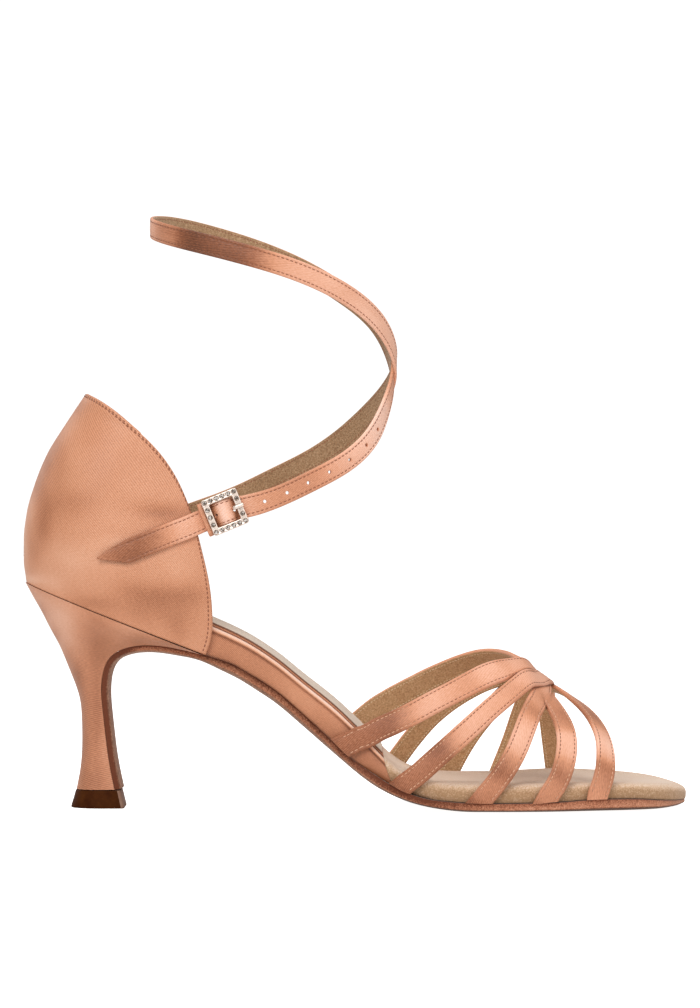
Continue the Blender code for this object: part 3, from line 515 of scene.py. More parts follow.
# Near black for the sock's edge: painted shade in the gap between the sock and the board's roll.
sock_edge_shade = suede("sock edge shade", (0.10, 0.030, 0.010), (0.17, 0.055, 0.020), (0.28, 0.11, 0.05), 1700.0, 0.2)
lining_suede = suede("lining suede", (0.30, 0.15, 0.065), (0.54, 0.32, 0.165), (0.76, 0.52, 0.31), 1900.0, 0.4)
# The ankle strap's lining is the lining suede's colours made darker: painted shade on its face, which turns in
# towards the ankle.
ankle_lining = suede("ankle lining", (0.20, 0.10, 0.045), (0.38, 0.225, 0.12), (0.58, 0.38, 0.23), 1900.0, 0.4)
tip_plastic = moulded("tip plastic", (0.045, 0.009, 0.001), (0.085, 0.024, 0.004), 0.55, specular=0.06)
# A lighter copy of the tip plastic: painted light on the heel tip's front face, where it catches the lamps.
lit_tip_front = moulded("tip front painted light", (0.24, 0.13, 0.09), (0.36, 0.22, 0.16), 0.55, specular=0.1)
rose_metal = moulded("rose white metal", (0.90, 0.74, 0.63), (0.98, 0.86, 0.77), 0.34, 0.55, 600.0)
# Dark metal: the stones' collars, and painted shade on the frame's side walls and on the prong's back half.
dark_metal_and_shade = moulded("dark metal and painted shade", (0.20, 0.13, 0.09), (0.34, 0.24, 0.17), 0.30, 0.8, 600.0)
satin_thread = thread("satin thread", (0.30, 0.10, 0.045), (0.82, 0.48, 0.30))
cream_thread = thread("cream thread", (0.76, 0.56, 0.34), (0.96, 0.82, 0.60))
print("finishes so far:", len(bpy.data.materials))

# %% [markdown]
# ## Stitches
#
# A row of machine stitches is hundreds of the same short bead of thread, each half sunk in the cloth. One
# bead with few faces is enough. It is laid at every place of a row at once, by multiplying its points with
# the row's directions, and a row becomes one mesh.
# %% Sew a row
BEAD_SIDES = 6


def bead(length, radius):
    """Points and faces of one stitch: a tube of six sides, closed to a point at both ends."""
    turn = np.arange(BEAD_SIDES) * 2 * math.pi / BEAD_SIDES
    place = np.array([-0.5, -0.32, 0.32, 0.5]) * length
    thick = np.array([0.55, 1.0, 1.0, 0.55]) * radius
    rings = np.stack([
        np.repeat(place[:, None], BEAD_SIDES, 1),
        thick[:, None] * np.cos(turn),
        thick[:, None] * np.sin(turn) * 0.8,
    ], -1).reshape(-1, 3)
    points = np.r_[rings, [[-0.56 * length, 0, -radius * 0.3], [0.56 * length, 0, -radius * 0.3]]]
    sides, _, _ = grid_quads(len(place), BEAD_SIDES, False, True)
    step = np.arange(BEAD_SIDES)
    after = (step + 1) % BEAD_SIDES
    last = len(rings) - BEAD_SIDES
    start = np.stack([np.full(BEAD_SIDES, len(rings)), after, step], -1)
    end = np.stack([np.full(BEAD_SIDES, len(rings) + 1), step + last, after + last], -1)
    return points, sides, np.r_[start, end]


def sew(name, places, ahead, outward, material, length, radius, tone=0.0):
    """A bead at each place, laid along ahead with its back to the cloth, and each with its own tone."""
    points, sides, ends = bead(length, radius)
    ahead = unit(ahead)
    outward = unit(outward - ahead * (outward * ahead).sum(-1, keepdims=True))
    across = np.cross(outward, ahead)
    frame_of = np.stack([ahead, across, outward], 1)
    laid = places[:, None] + np.einsum("pk,nkd->npd", points, frame_of)
    shift = np.arange(len(places))[:, None, None] * len(points)
    faces = (sides[None] + shift).reshape(-1, 4).tolist() + (ends[None] + shift).reshape(-1, 3).tolist()
    mesh = bpy.data.meshes.new(name)
    mesh.from_pydata((laid.reshape(-1, 3) * MM).tolist(), [], faces)
    give_tone(mesh, np.repeat(np.broadcast_to(tone, len(places)), len(points)))
    mesh.materials.append(material)
    return finish_piece(name, mesh, 60)


print("one stitch:", len(bead(1.3, 0.17)[0]), "points")

# %% [markdown]
# ## The foot bed
#
# Everything under the foot shares one plan and one side view: the plan gives the half-width on the outer
# (lateral) and inner (medial) side, and the side view gives the bed's top, the joint with the outsole and
# the walking face. The toe end of the plan is one smooth line round the tip.
# %% Lay out the foot bed
GAP, SEAM = 0.3, 0.06
SEAT_BACK_X, SEAT_BACK_Z, SEAT_SLOPE, SEAT_HALF, SEAT_ROUND = -24.3, 76.4, -0.395, 25.5, 35.0
PLAN = table("x lateral medial", [
    (10.7, 23.1, 23.1), (25.0, 22.9, 22.3), (38.0, 22.0, 20.8), (50.0, 21.4, 20.0), (65.0, 21.0, 20.6),
    (80.0, 22.2, 24.0), (90.0, 24.6, 28.0), (100.0, 27.6, 31.6), (112.0, 31.2, 36.0), (125.0, 33.8, 39.8),
    (140.0, 34.6, 41.8), (152.0, 33.6, 41.6), (165.0, 30.8, 39.4), (177.0, 26.4, 35.4),
    (187.0, 20.4, 29.8), (194.0, 13.0, 23.4), (198.3, 3.6, 16.0), (200.1, -3.5, 11.0),
])
TOE_TIP = (200.4, 7.2)
TOP = table("x z", [
    (-24.3, 86.6), (0.0, 77.4), (20.0, 70.4), (39.5, 62.9), (50.6, 57.7), (60.4, 51.4), (70.2, 43.5),
    (80.1, 35.6), (88.0, 28.2), (94.0, 22.0), (100.0, 16.2), (105.0, 13.0), (110.0, 11.2), (120.0, 10.0),
    (130.0, 9.8), (160.0, 10.0), (170.0, 9.8), (180.0, 9.5), (190.0, 8.8), (196.0, 7.9), (200.6, 6.6),
])
JOINT = table("x z", [
    (36.0, 52.8), (45.6, 49.8), (50.5, 47.1), (60.4, 40.9), (70.2, 32.5), (79.1, 24.2), (85.0, 18.7),
    (94.8, 12.1), (104.6, 6.8), (115.0, 4.4), (130.0, 3.6), (150.0, 3.8), (170.0, 4.7), (180.0, 4.5),
    (190.0, 3.6), (200.6, 2.5),
])
WALKING = table("x z", [
    (36.0, 49.3), (45.5, 45.3), (50.5, 42.3), (60.3, 35.9), (70.2, 27.5), (80.0, 19.0), (90.0, 10.8),
    (95.0, 7.5), (100.0, 5.0), (105.0, 3.1), (110.0, 1.8), (115.0, 0.9), (120.0, 0.3), (125.0, 0.0),
    (180.0, 0.0), (188.0, 0.1), (195.0, 0.6), (200.6, 1.4),
])


def side_view(columns, x):
    """Height of a side-view line at x."""
    return smooth(columns["x"], columns["z"], x)


def seat_z(x):
    """Height of the slanted seat plane: a straight line falling towards the toe."""
    return SEAT_BACK_Z + SEAT_SLOPE * (x - SEAT_BACK_X)


def joint_z(x):
    """Underside of the foot bed: the seat under the heel, then the top of the outsole."""
    x = np.asarray(x, float)
    return np.where(x < JOINT["x"][0], seat_z(x), side_view(JOINT, x))


def rounded_back(distance, length):
    """Quarter circle from 0 at the back to 1 at this length."""
    return np.sqrt(np.clip(1 - (1 - np.clip(distance / length, 0, 1)) ** 2, 0, 1))


ARCH_SLOPE, TOE_SLOPE = 0.03, 0.022


def side_rise(x, y):
    """Rise of the bed's top at y: the arch drops towards the outer side, the toes curl up at the inner."""
    arch = ARCH_SLOPE * np.clip((x - 20) / 20, 0, 1) * np.clip((112 - x) / 25, 0, 1)
    toes = TOE_SLOPE * ease(x, 135, 160) * (1 - ease(x, 186, 200))
    return arch * np.minimum(y, 0.2 * y) + toes * np.maximum(y, 0)


lateral_line = np.stack([PLAN["x"], -PLAN["lateral"]], -1)
medial_line = np.stack([PLAN["x"], PLAN["medial"]], -1)
plan_line = through(np.r_[lateral_line, [TOE_TIP], medial_line[::-1]], 6000)
plan_tip = int(plan_line[:, 0].argmax())
TIP_X = float(plan_line[plan_tip, 0])


def plan_edge(x, side, grow=(0.0, 0.0)):
    """Points of the plan's edge at x on one side, with the edge moved along its normal by grow."""
    ahead = unit(np.gradient(plan_line, axis=0))
    out = np.stack([ahead[:, 1], -ahead[:, 0]], -1)
    line = plan_line + out * grow
    half = slice(0, plan_tip + 1) if side < 0 else slice(None, plan_tip - 1, -1)
    line, out = line[half], out[half]
    y, *out = (np.interp(x, line[:, 0], values) for values in (line[:, 1], out[:, 0], out[:, 1]))
    return y, np.stack(out, -1)


def bed_half(x, side):
    """Half-width of the foot bed towards one side: a round seat, then the plan."""
    x = np.asarray(x, float)
    inset = SEAT_HALF - PLAN["lateral"][0]
    seat = (SEAT_HALF - inset) * rounded_back(x - SEAT_BACK_X - inset, SEAT_ROUND - inset)
    plan = smooth(PLAN["x"], PLAN["lateral" if side < 0 else "medial"], x)
    return np.where(x < PLAN["x"][0], seat, plan)


print("toe tip at x", round(TIP_X, 2), "mm")

# %% [markdown]
# ## The heel block and its tip
#
# A flared heel is turned from plastic and wrapped in satin. It is a stack of slices: each slice is a round
# back and a nearly flat front, and the slices tilt from level at the tip to the slant of the seat. The
# seat's corners reach far forward under the arch.
# %% Make the heel
HEEL = table("back_x back_z front_x front_z half front flap", [
    (-7.4, 6.3, 6.0, 6.3, 8.3, 7.6, 7.4), (-6.0, 14.0, 4.4, 14.0, 7.6, 7.2, 7.0),
    (-5.5, 22.0, 3.2, 22.0, 7.4, 7.0, 6.8), (-5.6, 30.0, 2.3, 30.0, 7.6, 7.2, 7.0),
    (-6.3, 37.0, 1.6, 37.5, 8.4, 7.8, 7.6), (-8.8, 44.5, 1.9, 44.5, 10.4, 9.2, 8.9),
    (-11.0, 50.0, 3.6, 49.7, 13.0, 11.2, 10.8), (-13.4, 55.5, 7.4, 53.3, 16.2, 13.6, 13.0),
    (-16.4, 61.0, 13.4, 55.2, 19.6, 16.6, 15.6), (-19.2, 66.5, 21.0, 55.4, 22.4, 19.6, 17.6),
    (-22.0, 71.4, 29.0, 54.2, 24.4, 21.8, 18.4), (-24.7, 76.45, 36.0, 52.52, 25.5, 23.6, 18.4),
])
# Painted shade and painted highlights on the heel's satin, as soft spots: place, width, height and amount of
# tone.
HEEL_TONES = table("x z wide high amount", [
    (1.0, 58.0, 5.0, 13.0, -0.30), (-12.0, 62.0, 6.0, 10.0, 0.5), (12.0, 60.0, 4.0, 5.0, 0.15),
    (0.0, 30.0, 2.4, 20.0, -0.40), (-5.0, 25.0, 3.2, 24.0, -0.42), (26.0, 56.5, 7.0, 3.0, -0.4),
    (0.0, 9.0, 5.0, 6.0, -0.30), (-19.0, 70.0, 3.0, 3.0, 0.2), (-13.5, 58.0, 2.5, 4.0, -0.35),
    (-10.0, 52.0, 2.5, 4.0, -0.35), (-7.2, 45.0, 2.5, 5.0, -0.40), (14.0, 57.0, 5.0, 2.5, -0.30),
    (-18.6, 65.5, 1.8, 4.5, -0.40), (-15.0, 58.0, 1.8, 4.5, -0.35),
])


def patches(spots, x, z):
    """Sum of soft round spots: amount times exp(-(distance over reach) squared)."""
    reach = [(x[..., None] - spots["x"]) / spots["wide"], (z[..., None] - spots["z"]) / spots["high"]]
    return (spots["amount"] * np.exp(-reach[0] ** 2 - reach[1] ** 2)).sum(-1)


def closed_ring(points):
    """The rings with their first column repeated at the end, and the distance round each."""
    ring = np.concatenate([points, points[:, :1]], 1)
    step = np.linalg.norm(np.diff(ring, axis=1), axis=2)
    return ring, np.concatenate([np.zeros((len(ring), 1)), step.cumsum(1)], 1)


HEEL_ROUND_END, HEEL_FLANK_END, HEEL_CORNER = 0.58, 0.965, 0.7


def heel_slices(rows, columns):
    """Slices between the back line and the front line.

    Round the back the width is half times the sine of a quarter turn. From there it eases to the front
    width, and a small quarter circle turns the corner to the flat front.
    """
    names = ("back_x", "back_z", "front_x", "front_z", "half", "front")
    knots = lengths(np.stack([HEEL["back_x"], HEEL["back_z"]], -1))
    stack = spline(knots, np.stack([HEEL[n] for n in names], -1), np.linspace(0, knots[-1], rows))
    back, front = stack[:, None, 0:2], stack[:, None, 2:4]
    half, front_half = stack[:, None, 4], stack[:, None, 5]
    turn = np.radians(np.linspace(0, 90, columns))
    corner = np.radians(np.linspace(0, 90, 6))
    flank = np.linspace(0, 1, 9)[1:]
    round_reach = HEEL_ROUND_END * (1 - np.cos(turn))
    flank_reach = HEEL_ROUND_END + (HEEL_FLANK_END - HEEL_ROUND_END) * flank
    corner_reach = HEEL_FLANK_END + (1 - HEEL_FLANK_END) * np.sin(corner[1:])
    reach = np.r_[round_reach, flank_reach, corner_reach]
    narrow = smooth(np.array([0.0, 0.5, 1.0]), np.array([0.0, 0.35, 1.0]), flank)
    width = np.concatenate([
        half * np.sin(turn),
        half + (front_half - half) * narrow,
        front_half - HEEL_CORNER * (1 - np.cos(corner[1:])),
    ], 1)
    line = back + (front - back) * reach[None, :, None]
    near = np.stack([line[..., 0], -width, line[..., 1]], -1)
    return np.concatenate([near[:, ::-1], near[:, 1:] * [1, -1, 1]], 1)


heel_points = heel_slices(110, 26)
round_it = closed_ring(heel_points)[1]
up_it = lengths(heel_points[:, heel_points.shape[1] // 2])[:, None] + 0 * round_it
heel_uv = np.stack([round_it - round_it[:, -1:] / 2, up_it], -1)
heel_tone = patches(HEEL_TONES, heel_points[..., 0], heel_points[..., 2])
heel = surface("heel", heel_points, [heel_satin], uv=heel_uv, tone=heel_tone)
wear(heel, "satin", "heel")


# %% Make the heel tip
TIP_REACH, TIP_HALF = 9.2, 8.9


def tip_slices():
    """D-shaped rings up the tip: a round back, straight flanks, and a soft edge top and bottom."""
    level = np.array([0.0, 0.0, 0.12, 0.4, 1.0, 3.0, 5.5, 5.85, 6.0, 6.0])
    inset = np.array([4.0, 0.30, 0.08, 0.0, 0.15, 0.75, 1.45, 1.55, 1.75, 4.0])
    turn = np.radians(np.linspace(0, 90, 22))
    inset = inset[:, None]
    back, front, half = -TIP_REACH + inset, TIP_REACH - inset * 0.8, TIP_HALF - inset * 0.4
    x = np.concatenate([back + 0.55 * (front - back) * (1 - np.cos(turn)), front - 1.1, front - 0.3, front], 1)
    y = np.concatenate([half * np.sin(turn), half - 0.15, half - 0.45, half - 1.3], 1)
    near = np.stack([x, -y, level[:, None] + 0 * x], -1)
    return np.concatenate([near[:, ::-1], near[:, 1:] * [1, -1, 1]], 1)


tip_grid = tip_slices()
# The front columns take the lighter copy: painted light on the face turned to the lamps.
painted_lit_front = lambda r, c: ((c < 2) | (c >= tip_grid.shape[1] - 3)) * 1
heel_tip = surface("heel_tip", tip_grid, [tip_plastic, lit_tip_front], pick=painted_lit_front, sharp=50)
wear(heel_tip, "tip_plastic", "heel_tip")

# %% [markdown]
# ## The outsole
#
# The suede sole is one sheet. It starts at the foot of the heel's front face as the breast flap, climbs it,
# turns forward under the arch and runs to the toe. A profile across the sole is carried along that path;
# the profile's edge is cut square, and its walking face is a little rounded. The face rests a hair above
# the floor, so that the two never lie in one plane. Towards the toe the rim of the walking face is painted
# dark, as the shade where it meets the floor.
# %% Make the outsole
FLAP_THICK, SOLE_WELT, SOLE_REST = 2.6, 1.4, 0.02
TOP_COLUMNS, SIDE_COLUMNS, UNDER_COLUMNS = 9, 3, 31
sole_growth = (-0.45, SOLE_WELT)
outsole_tip = TIP_X + sole_growth[0]


def sole_stations():
    """Rows along the sole: inner line, outer line, and the two half-widths."""
    front = np.stack([HEEL["front_x"], HEEL["front_z"]], -1)
    ahead = unit(np.gradient(front, axis=0))
    away = np.stack([ahead[:, 1], -ahead[:, 0]], -1)
    inner = front + SEAM * away
    outer = inner + FLAP_THICK * away
    x = np.r_[42.0, 48.0, 54.0, 60.0, 66.0, 72.0, 78.0, 84.0, 89.0, np.arange(94.0, 150.0, 6.0)]
    waist_half = 18.2 - 0.6 * np.clip((x - 42) / 20, 0, 1)
    blend = ease(x, 74, 96)
    low, high = -plan_edge(x, -1, sole_growth)[0], plan_edge(x, 1, sole_growth)[0]
    lateral, medial = waist_half + (low - waist_half) * blend, waist_half + (high - waist_half) * blend
    rows = np.c_[x, joint_z(x) - SEAM, x, side_view(WALKING, x), -lateral, medial]
    flap = np.c_[inner, outer, -HEEL["flap"], HEEL["flap"]]
    rows = np.r_[flap, rows]
    knots = lengths(rows[:, :2])
    where = np.linspace(0, knots[-1], 190)
    lines = spline(knots, rows[:, :4], where)
    halves = np.stack([smooth(knots, rows[:, k], where) for k in (4, 5)], -1)
    t = np.linspace(0, 1, 90)[1:]
    x = outsole_tip - (outsole_tip - lines[-1, 0]) * (1 - t) ** 2
    tread = np.c_[x, joint_z(x) - SEAM, x, side_view(WALKING, x)]
    edges = np.stack([plan_edge(x, side, sole_growth)[0] for side in (-1, 1)], -1)
    edges[-1] = edges[-1].mean()
    return np.r_[np.c_[lines, halves], np.c_[tread, edges]]


def sole_points(rows):
    """Each row's section: top, square-cut side, and a walking face whose edge lifts by half its depth."""
    beneath = -np.cos(np.linspace(0, math.pi, UNDER_COLUMNS))
    side = np.ones(SIDE_COLUMNS)
    reach = np.r_[np.linspace(1, -1, TOP_COLUMNS), -side, beneath, side]
    lift_at, left = np.array([0.0, 0.5, 0.75, 0.95, 1.0]), np.array([1.0, 1.0, 0.92, 0.78, 0.62])
    under = smooth(lift_at, left, np.abs(beneath))
    side_depth = np.array([0.05, 0.16, 0.5])
    depth = np.r_[np.zeros(TOP_COLUMNS), side_depth, under, side_depth[::-1]]
    inner, outer, edge = rows[:, None, 0:2], rows[:, None, 2:4], rows[:, None, 4:6]
    y = edge[..., 0] + (edge[..., 1] - edge[..., 0]) * (1 + reach) / 2
    line = inner + (outer - inner) * depth[None, :, None]
    return np.stack([line[..., 0], y, np.maximum(line[..., 1], SOLE_REST)], -1)


sole_rows = sole_stations()
sole_grid = sole_points(sole_rows)
under_first = TOP_COLUMNS + SIDE_COLUMNS
under_last = under_first + UNDER_COLUMNS - 1
sole_side = lambda r, c: np.where((c >= TOP_COLUMNS - 1) & (c < under_first) | (c >= under_last), 1, 0)


# %% [markdown]
# The cut edge isn't one colour: shade is painted into it. Its top rim is painted dark as the shade under
# the bed above, most under the arch, and the whole edge is darker round the bend. Towards the toe the rim of
# the walking face is painted dark as the shade where it meets the floor, and near the heel the breast flap
# is darker at its edges. Painting each row of points is enough, since each area is soft.
# %% Shade the outsole
ARCH_END_X, TOE_START_X, BEND_X, BEND_REACH = 92, 114, 107, 19
FLAP_DARK_X, FLAP_LIGHT_X = 8, 16
# Tone of the side's four columns from its top rim down: painted shade under the bed above, strongest under the
# arch.
SIDE_ARCH_TONE = np.array([-2.2, -1.7, -0.35, -0.1])
SIDE_TOE_TONE = np.array([-0.8, -0.25, -0.15, 0.2])
SIDE_BEND_TONE = np.array([-0.8, -0.6, -0.7, -0.7])
# Painted shade where the sole meets the floor, on the rim of the walking face towards the toe.
FLOOR_SHADE_TONE = np.array([-0.3, -0.6, -1.0, -1.6, -2.2, -1.2])
sole_x = sole_rows[:, :1]
toe_rows = ease(sole_x, ARCH_END_X, TOE_START_X)
bend_rows = np.exp(-((sole_x - BEND_X) / BEND_REACH) ** 2)
side_tone = SIDE_ARCH_TONE * (1 - toe_rows) + SIDE_TOE_TONE * toe_rows + SIDE_BEND_TONE * bend_rows
floor_shade = FLOOR_SHADE_TONE * toe_rows
plain_top = np.zeros((len(sole_rows), TOP_COLUMNS - 2))
plain_under = np.zeros((len(sole_rows), UNDER_COLUMNS - 2 * len(FLOOR_SHADE_TONE)))
sole_tone = np.concatenate([side_tone[:, :1], plain_top, side_tone, floor_shade, plain_under, floor_shade[:, ::-1],
                            side_tone[:, :0:-1]], 1)
flap_edge = np.array([0.5, 0.9, 0.9, 0.7, 0.5, 0.3])
flap_dark = np.r_[0.4, plain_top[0], 0.4, flap_edge, np.zeros(25), flap_edge[::-1]]
sole_tone = sole_tone - (1 - ease(sole_x, FLAP_DARK_X, FLAP_LIGHT_X)) * flap_dark
outsole = surface("outsole", sole_grid, [sole_suede, sole_edge], tone=sole_tone, pick=sole_side)
wear(outsole, "sole_suede", "outsole")

# %% [markdown]
# ## Insole board, toe insole and sock
#
# The shank board under the seat and arch is wrapped in satin, and its top edge is a rolled cord that
# catches a bright line; that highlight is also painted into its tone, with painted shade in the groove and
# crease beside it. Under the toes the insole is wrapped in tan suede instead, and the two meet in a seam at
# the ball. A thin leather sock covers the board's top inside the roll; its edge is painted near black, as
# the shade between sock and roll.
# %% Make the insole board
BOARD_START, BED_SEAM = -21.4, 96.8
SIDE_DEEP, SIDE_TOP_SHARE, ROLL_FOOT = 8.1, 0.685, 2.55


def seam_slant(share):
    """The seam at the ball leans: its foot lies further forward than its top."""
    return 3.2 * (1 - share) ** 1.3


def board_profile():
    """Inset from the edge, drop from the top, share of the side, and tone, from the middle outwards.

    Two circles make the piping and the roll: inset - radius cos(turn) and drop - radius sin(turn). The tone
    paints a highlight on the roll, and shade in the groove, in the crease under the roll and at the foot of
    the side.
    """
    piping = np.radians([150, 110, 70, 30, -20])
    roll = np.radians([150, 115, 80, 45, 10, -10, -20])
    inset = np.r_[3.9, 3.2, 2.75 - 0.2 * np.cos(piping), 2.35, 1.25 - np.cos(roll), 0.36]
    drop = np.r_[0.15, 0.12, -0.15 - 0.2 * np.sin(piping), 0.55, 1.35 - np.sin(roll), 2.1]
    side_inset = np.array([0.38, 0.32, 0.25, 0.30, 0.50, 0.85, 1.20, 1.70])
    side_share = np.array([1.0, 0.93, 0.80, 0.60, 0.35, 0.15, 0.04, 0.0])
    upper_tone = np.r_[0, 0, np.full(5, -0.45), -1.6, -1.3, 0.2, 1.1, 1.2, 0.8, 0.2, -0.3, -1.05]
    side_tone = np.array([-0.85, -0.38, -0.30, -0.32, -0.38, -0.55, -1.3, -2.2])
    return np.r_[inset, side_inset], drop, side_share, np.r_[upper_tone, side_tone]


def board_points(rows):
    """The profile at each x: flat top, piping, roll, a crease under it, and sides drawn in to the sole."""
    inset, drop, side_share, _ = board_profile()
    upper = len(drop)
    share = np.r_[np.minimum(1.0, 1 - drop / SIDE_DEEP), side_share * SIDE_TOP_SHARE]
    x = np.linspace(BOARD_START, BED_SEAM, rows)[:, None]
    x = x + seam_slant(share) * ease(x, 70, BED_SEAM)
    top, low = side_view(TOP, x), joint_z(x) + SEAM
    side = low[:, upper:] + (top - ROLL_FOOT - low)[:, upper:] * side_share
    z = np.concatenate([top[:, :upper] - drop, side], 1)
    halves = []
    for way in (-1, 1):
        small = np.minimum(1.0, bed_half(x, -1) / 12)
        y = way * (bed_half(x, way) - inset * small)
        halves.append(np.stack([x, y, z + side_rise(x, y) * (share > 0.02)], -1))
    return np.concatenate([halves[0], halves[1][:, ::-1]], 1)


def ring_uv(points):
    """Cloth places of a ring of columns: distance along the rows by distance round the ring."""
    ring, across = closed_ring(points)
    step = np.linalg.norm(np.diff(ring, axis=0), axis=2).mean(1)
    ahead = np.r_[0, np.cumsum(step)][:, None] + 0 * across
    return np.stack([ahead, across], -1)


board_grid = board_points(150)
board_z, profile_tone = board_grid[..., 2], board_profile()[3]
# Painted light and shade along the board's side: lighter round 36 mm high, darker round 20 mm.
board_tone = 0.20 * np.exp(-((board_z - 36) / 9) ** 2) - 0.20 * np.exp(-((board_z - 20) / 6) ** 2)
board_tone = board_tone + np.r_[profile_tone, profile_tone[::-1]]
insole_board = surface("insole_board", board_grid, [counter_satin], uv=ring_uv(board_grid), tone=board_tone)
wear(insole_board, "satin", "insole_board")


# %% Make the toe insole
def forefoot_points(rows):
    """Two edges of the plan joined over the top and bottom.

    At each row the edge profile is moved inwards along the plan's normal, so that it turns round the toe,
    and the top between the two edges dips slightly, as an insole does after long wear. The tone paints light
    and shade: the top paler where the light falls on it, the sides darker.
    """
    t = np.linspace(0, 1, rows)
    start = BED_SEAM + 0.05
    x = TIP_X - (TIP_X - start) * (1 - t) ** 2
    inset = np.array([0.7, 0.3, 0.1, 0.0, 0.0, 0.2, 0.55, 1.1, 1.9, 2.9, 4.1])
    share = np.array([0.0, 0.02, 0.14, 0.34, 0.55, 0.70, 0.82, 0.915, 0.97, 0.995, 1.0])
    edges = []
    for side in (-1, 1):
        y, out = plan_edge(x, side)
        small = np.minimum(1.0, np.sqrt(np.clip((TIP_X - x) / 8, 0.0, 1)) * 0.25 + 0.75)
        px = x[:, None] - out[:, :1] * inset * (small * ease(x, start, start + 8))[:, None]
        py = y[:, None] - out[:, 1:] * inset * small[:, None]
        edges.append(np.stack([px, py], -1))
    near, far = edges
    near[-1] = (near[-1] + far[-1]) / 2
    far[-1] = (near[-1] + far[-1]) / 2
    lerp = np.linspace(0, 1, 18)[1:-1]
    edge_count, low_count = len(inset), len(lerp[::4])
    over = near[:, -1:] + (far[:, -1:] - near[:, -1:]) * lerp[:, None]
    under = far[:, :1] + (near[:, :1] - far[:, :1]) * lerp[::4, None]
    px, py = np.moveaxis(np.concatenate([near, over, far[:, ::-1], under], 1), -1, 0)
    level = np.r_[share, np.ones(len(lerp)), share[::-1], np.zeros(low_count)]
    before, behind = np.zeros(edge_count), np.zeros(edge_count + low_count)
    dip = np.r_[before, -0.35 * np.sin(math.pi * lerp), behind]
    wide = np.clip((far[:, :1, 1] - near[:, :1, 1]) / 40, 0, 1)
    px = px + seam_slant(level) * (1 - ease(x, start, 124.0))[:, None]
    low, top = joint_z(px) + SEAM, side_view(TOP, px)
    z = low + (top - low) * level + dip * wide + side_rise(px, py) * (level > 0.02)
    # Painted light: the middle of the top paler still.
    painted_top_light = np.r_[before, 0.3 * np.sqrt(np.sin(math.pi * lerp)), behind]
    return np.stack([px, py, z], -1), -0.58 + 0.90 * ease(level, 0.5, 1.0) + painted_top_light + 0 * px


forefoot_grid, forefoot_tone = forefoot_points(150)
insole_forefoot = surface("insole_forefoot", forefoot_grid, [insole_suede], tone=forefoot_tone, sharp=50)
wear(insole_forefoot, "insole_suede", "insole_forefoot")


# %% Make the sock
SOCK_START, SOCK_INSET, SOCK_REST, SOCK_THICK = -18.2, 3.15, 0.15, 0.90


def sock_points(rows):
    """A thin sheet over the board: rounded edges, a trace of pillow in the middle, and a rounded back."""
    x = np.linspace(SOCK_START, BED_SEAM - GAP, rows)[:, None]
    low = side_view(TOP, x)
    across = -np.cos(np.linspace(0, math.pi, 25))
    edge = np.sqrt(np.clip(1 - np.abs(across) ** 14, 0, 1))
    lateral, medial = bed_half(x, -1) - SOCK_INSET, bed_half(x, 1) - SOCK_INSET
    y = -lateral + (lateral + medial) * (1 + across) / 2
    high = low + SOCK_REST + SOCK_THICK * edge + 0.10 * (1 - across ** 2)
    under = low + SOCK_REST - SOCK_REST * edge
    z = np.concatenate([high + side_rise(x, y), (under + side_rise(x, y))[:, -2:0:-1]], 1)
    y = np.concatenate([y, y[:, -2:0:-1]], 1)
    return np.stack([x + 0 * y, y, z], -1)


# The sock's edge columns take the near-black finish: painted shade between sock and roll.
painted_shade_edge = lambda r, c: ((c < 3) | (c >= 21)) * 1
sock_lining = surface("sock_lining", sock_points(110), [sock_leather, sock_edge_shade], pick=painted_shade_edge)
wear(sock_lining, "sock", "sock_lining")

# %% [markdown]
# ## The heel counter
#
# The closed back is satin outside and suede lining inside, moulded over the last into a cup. Its outline
# from the side is drawn by four edges, the sheet between them is bent round the heel, and then the sheet
# becomes a wall with rounded, turned-in edges. Seams press a groove beside each edge, and along the top two
# rows of stitches run close together.
# %% Shape the counter's sheet
COUNTER_WALL = 1.9
COUNTER_BACK = table("x z", [
    (-24.3, 76.4), (-25.3, 84.0), (-25.3, 91.0), (-24.3, 100.0), (-21.5, 110.0), (-17.4, 120.0),
    (-11.2, 130.0), (-4.0, 140.8),
])
COUNTER_TOP = table("x z", [
    (-4.0, 140.8), (1.0, 138.2), (11.2, 130.6), (21.3, 121.1), (28.2, 110.9), (33.7, 97.5),
])
COUNTER_FRONT = table("x z", [
    (37.4, 52.35), (39.0, 57.0), (39.6, 65.7), (39.0, 74.0), (36.5, 86.3), (33.7, 97.5),
])
INNER_SETBACK, SETBACK_CURVE = 2.4, 0.6
CUP = table("height out", [
    (0.0, 0.0), (8.0, 1.6), (20.0, 2.6), (32.0, 2.0), (44.0, 0.8), (56.0, -1.8), (66.0, -4.4),
])
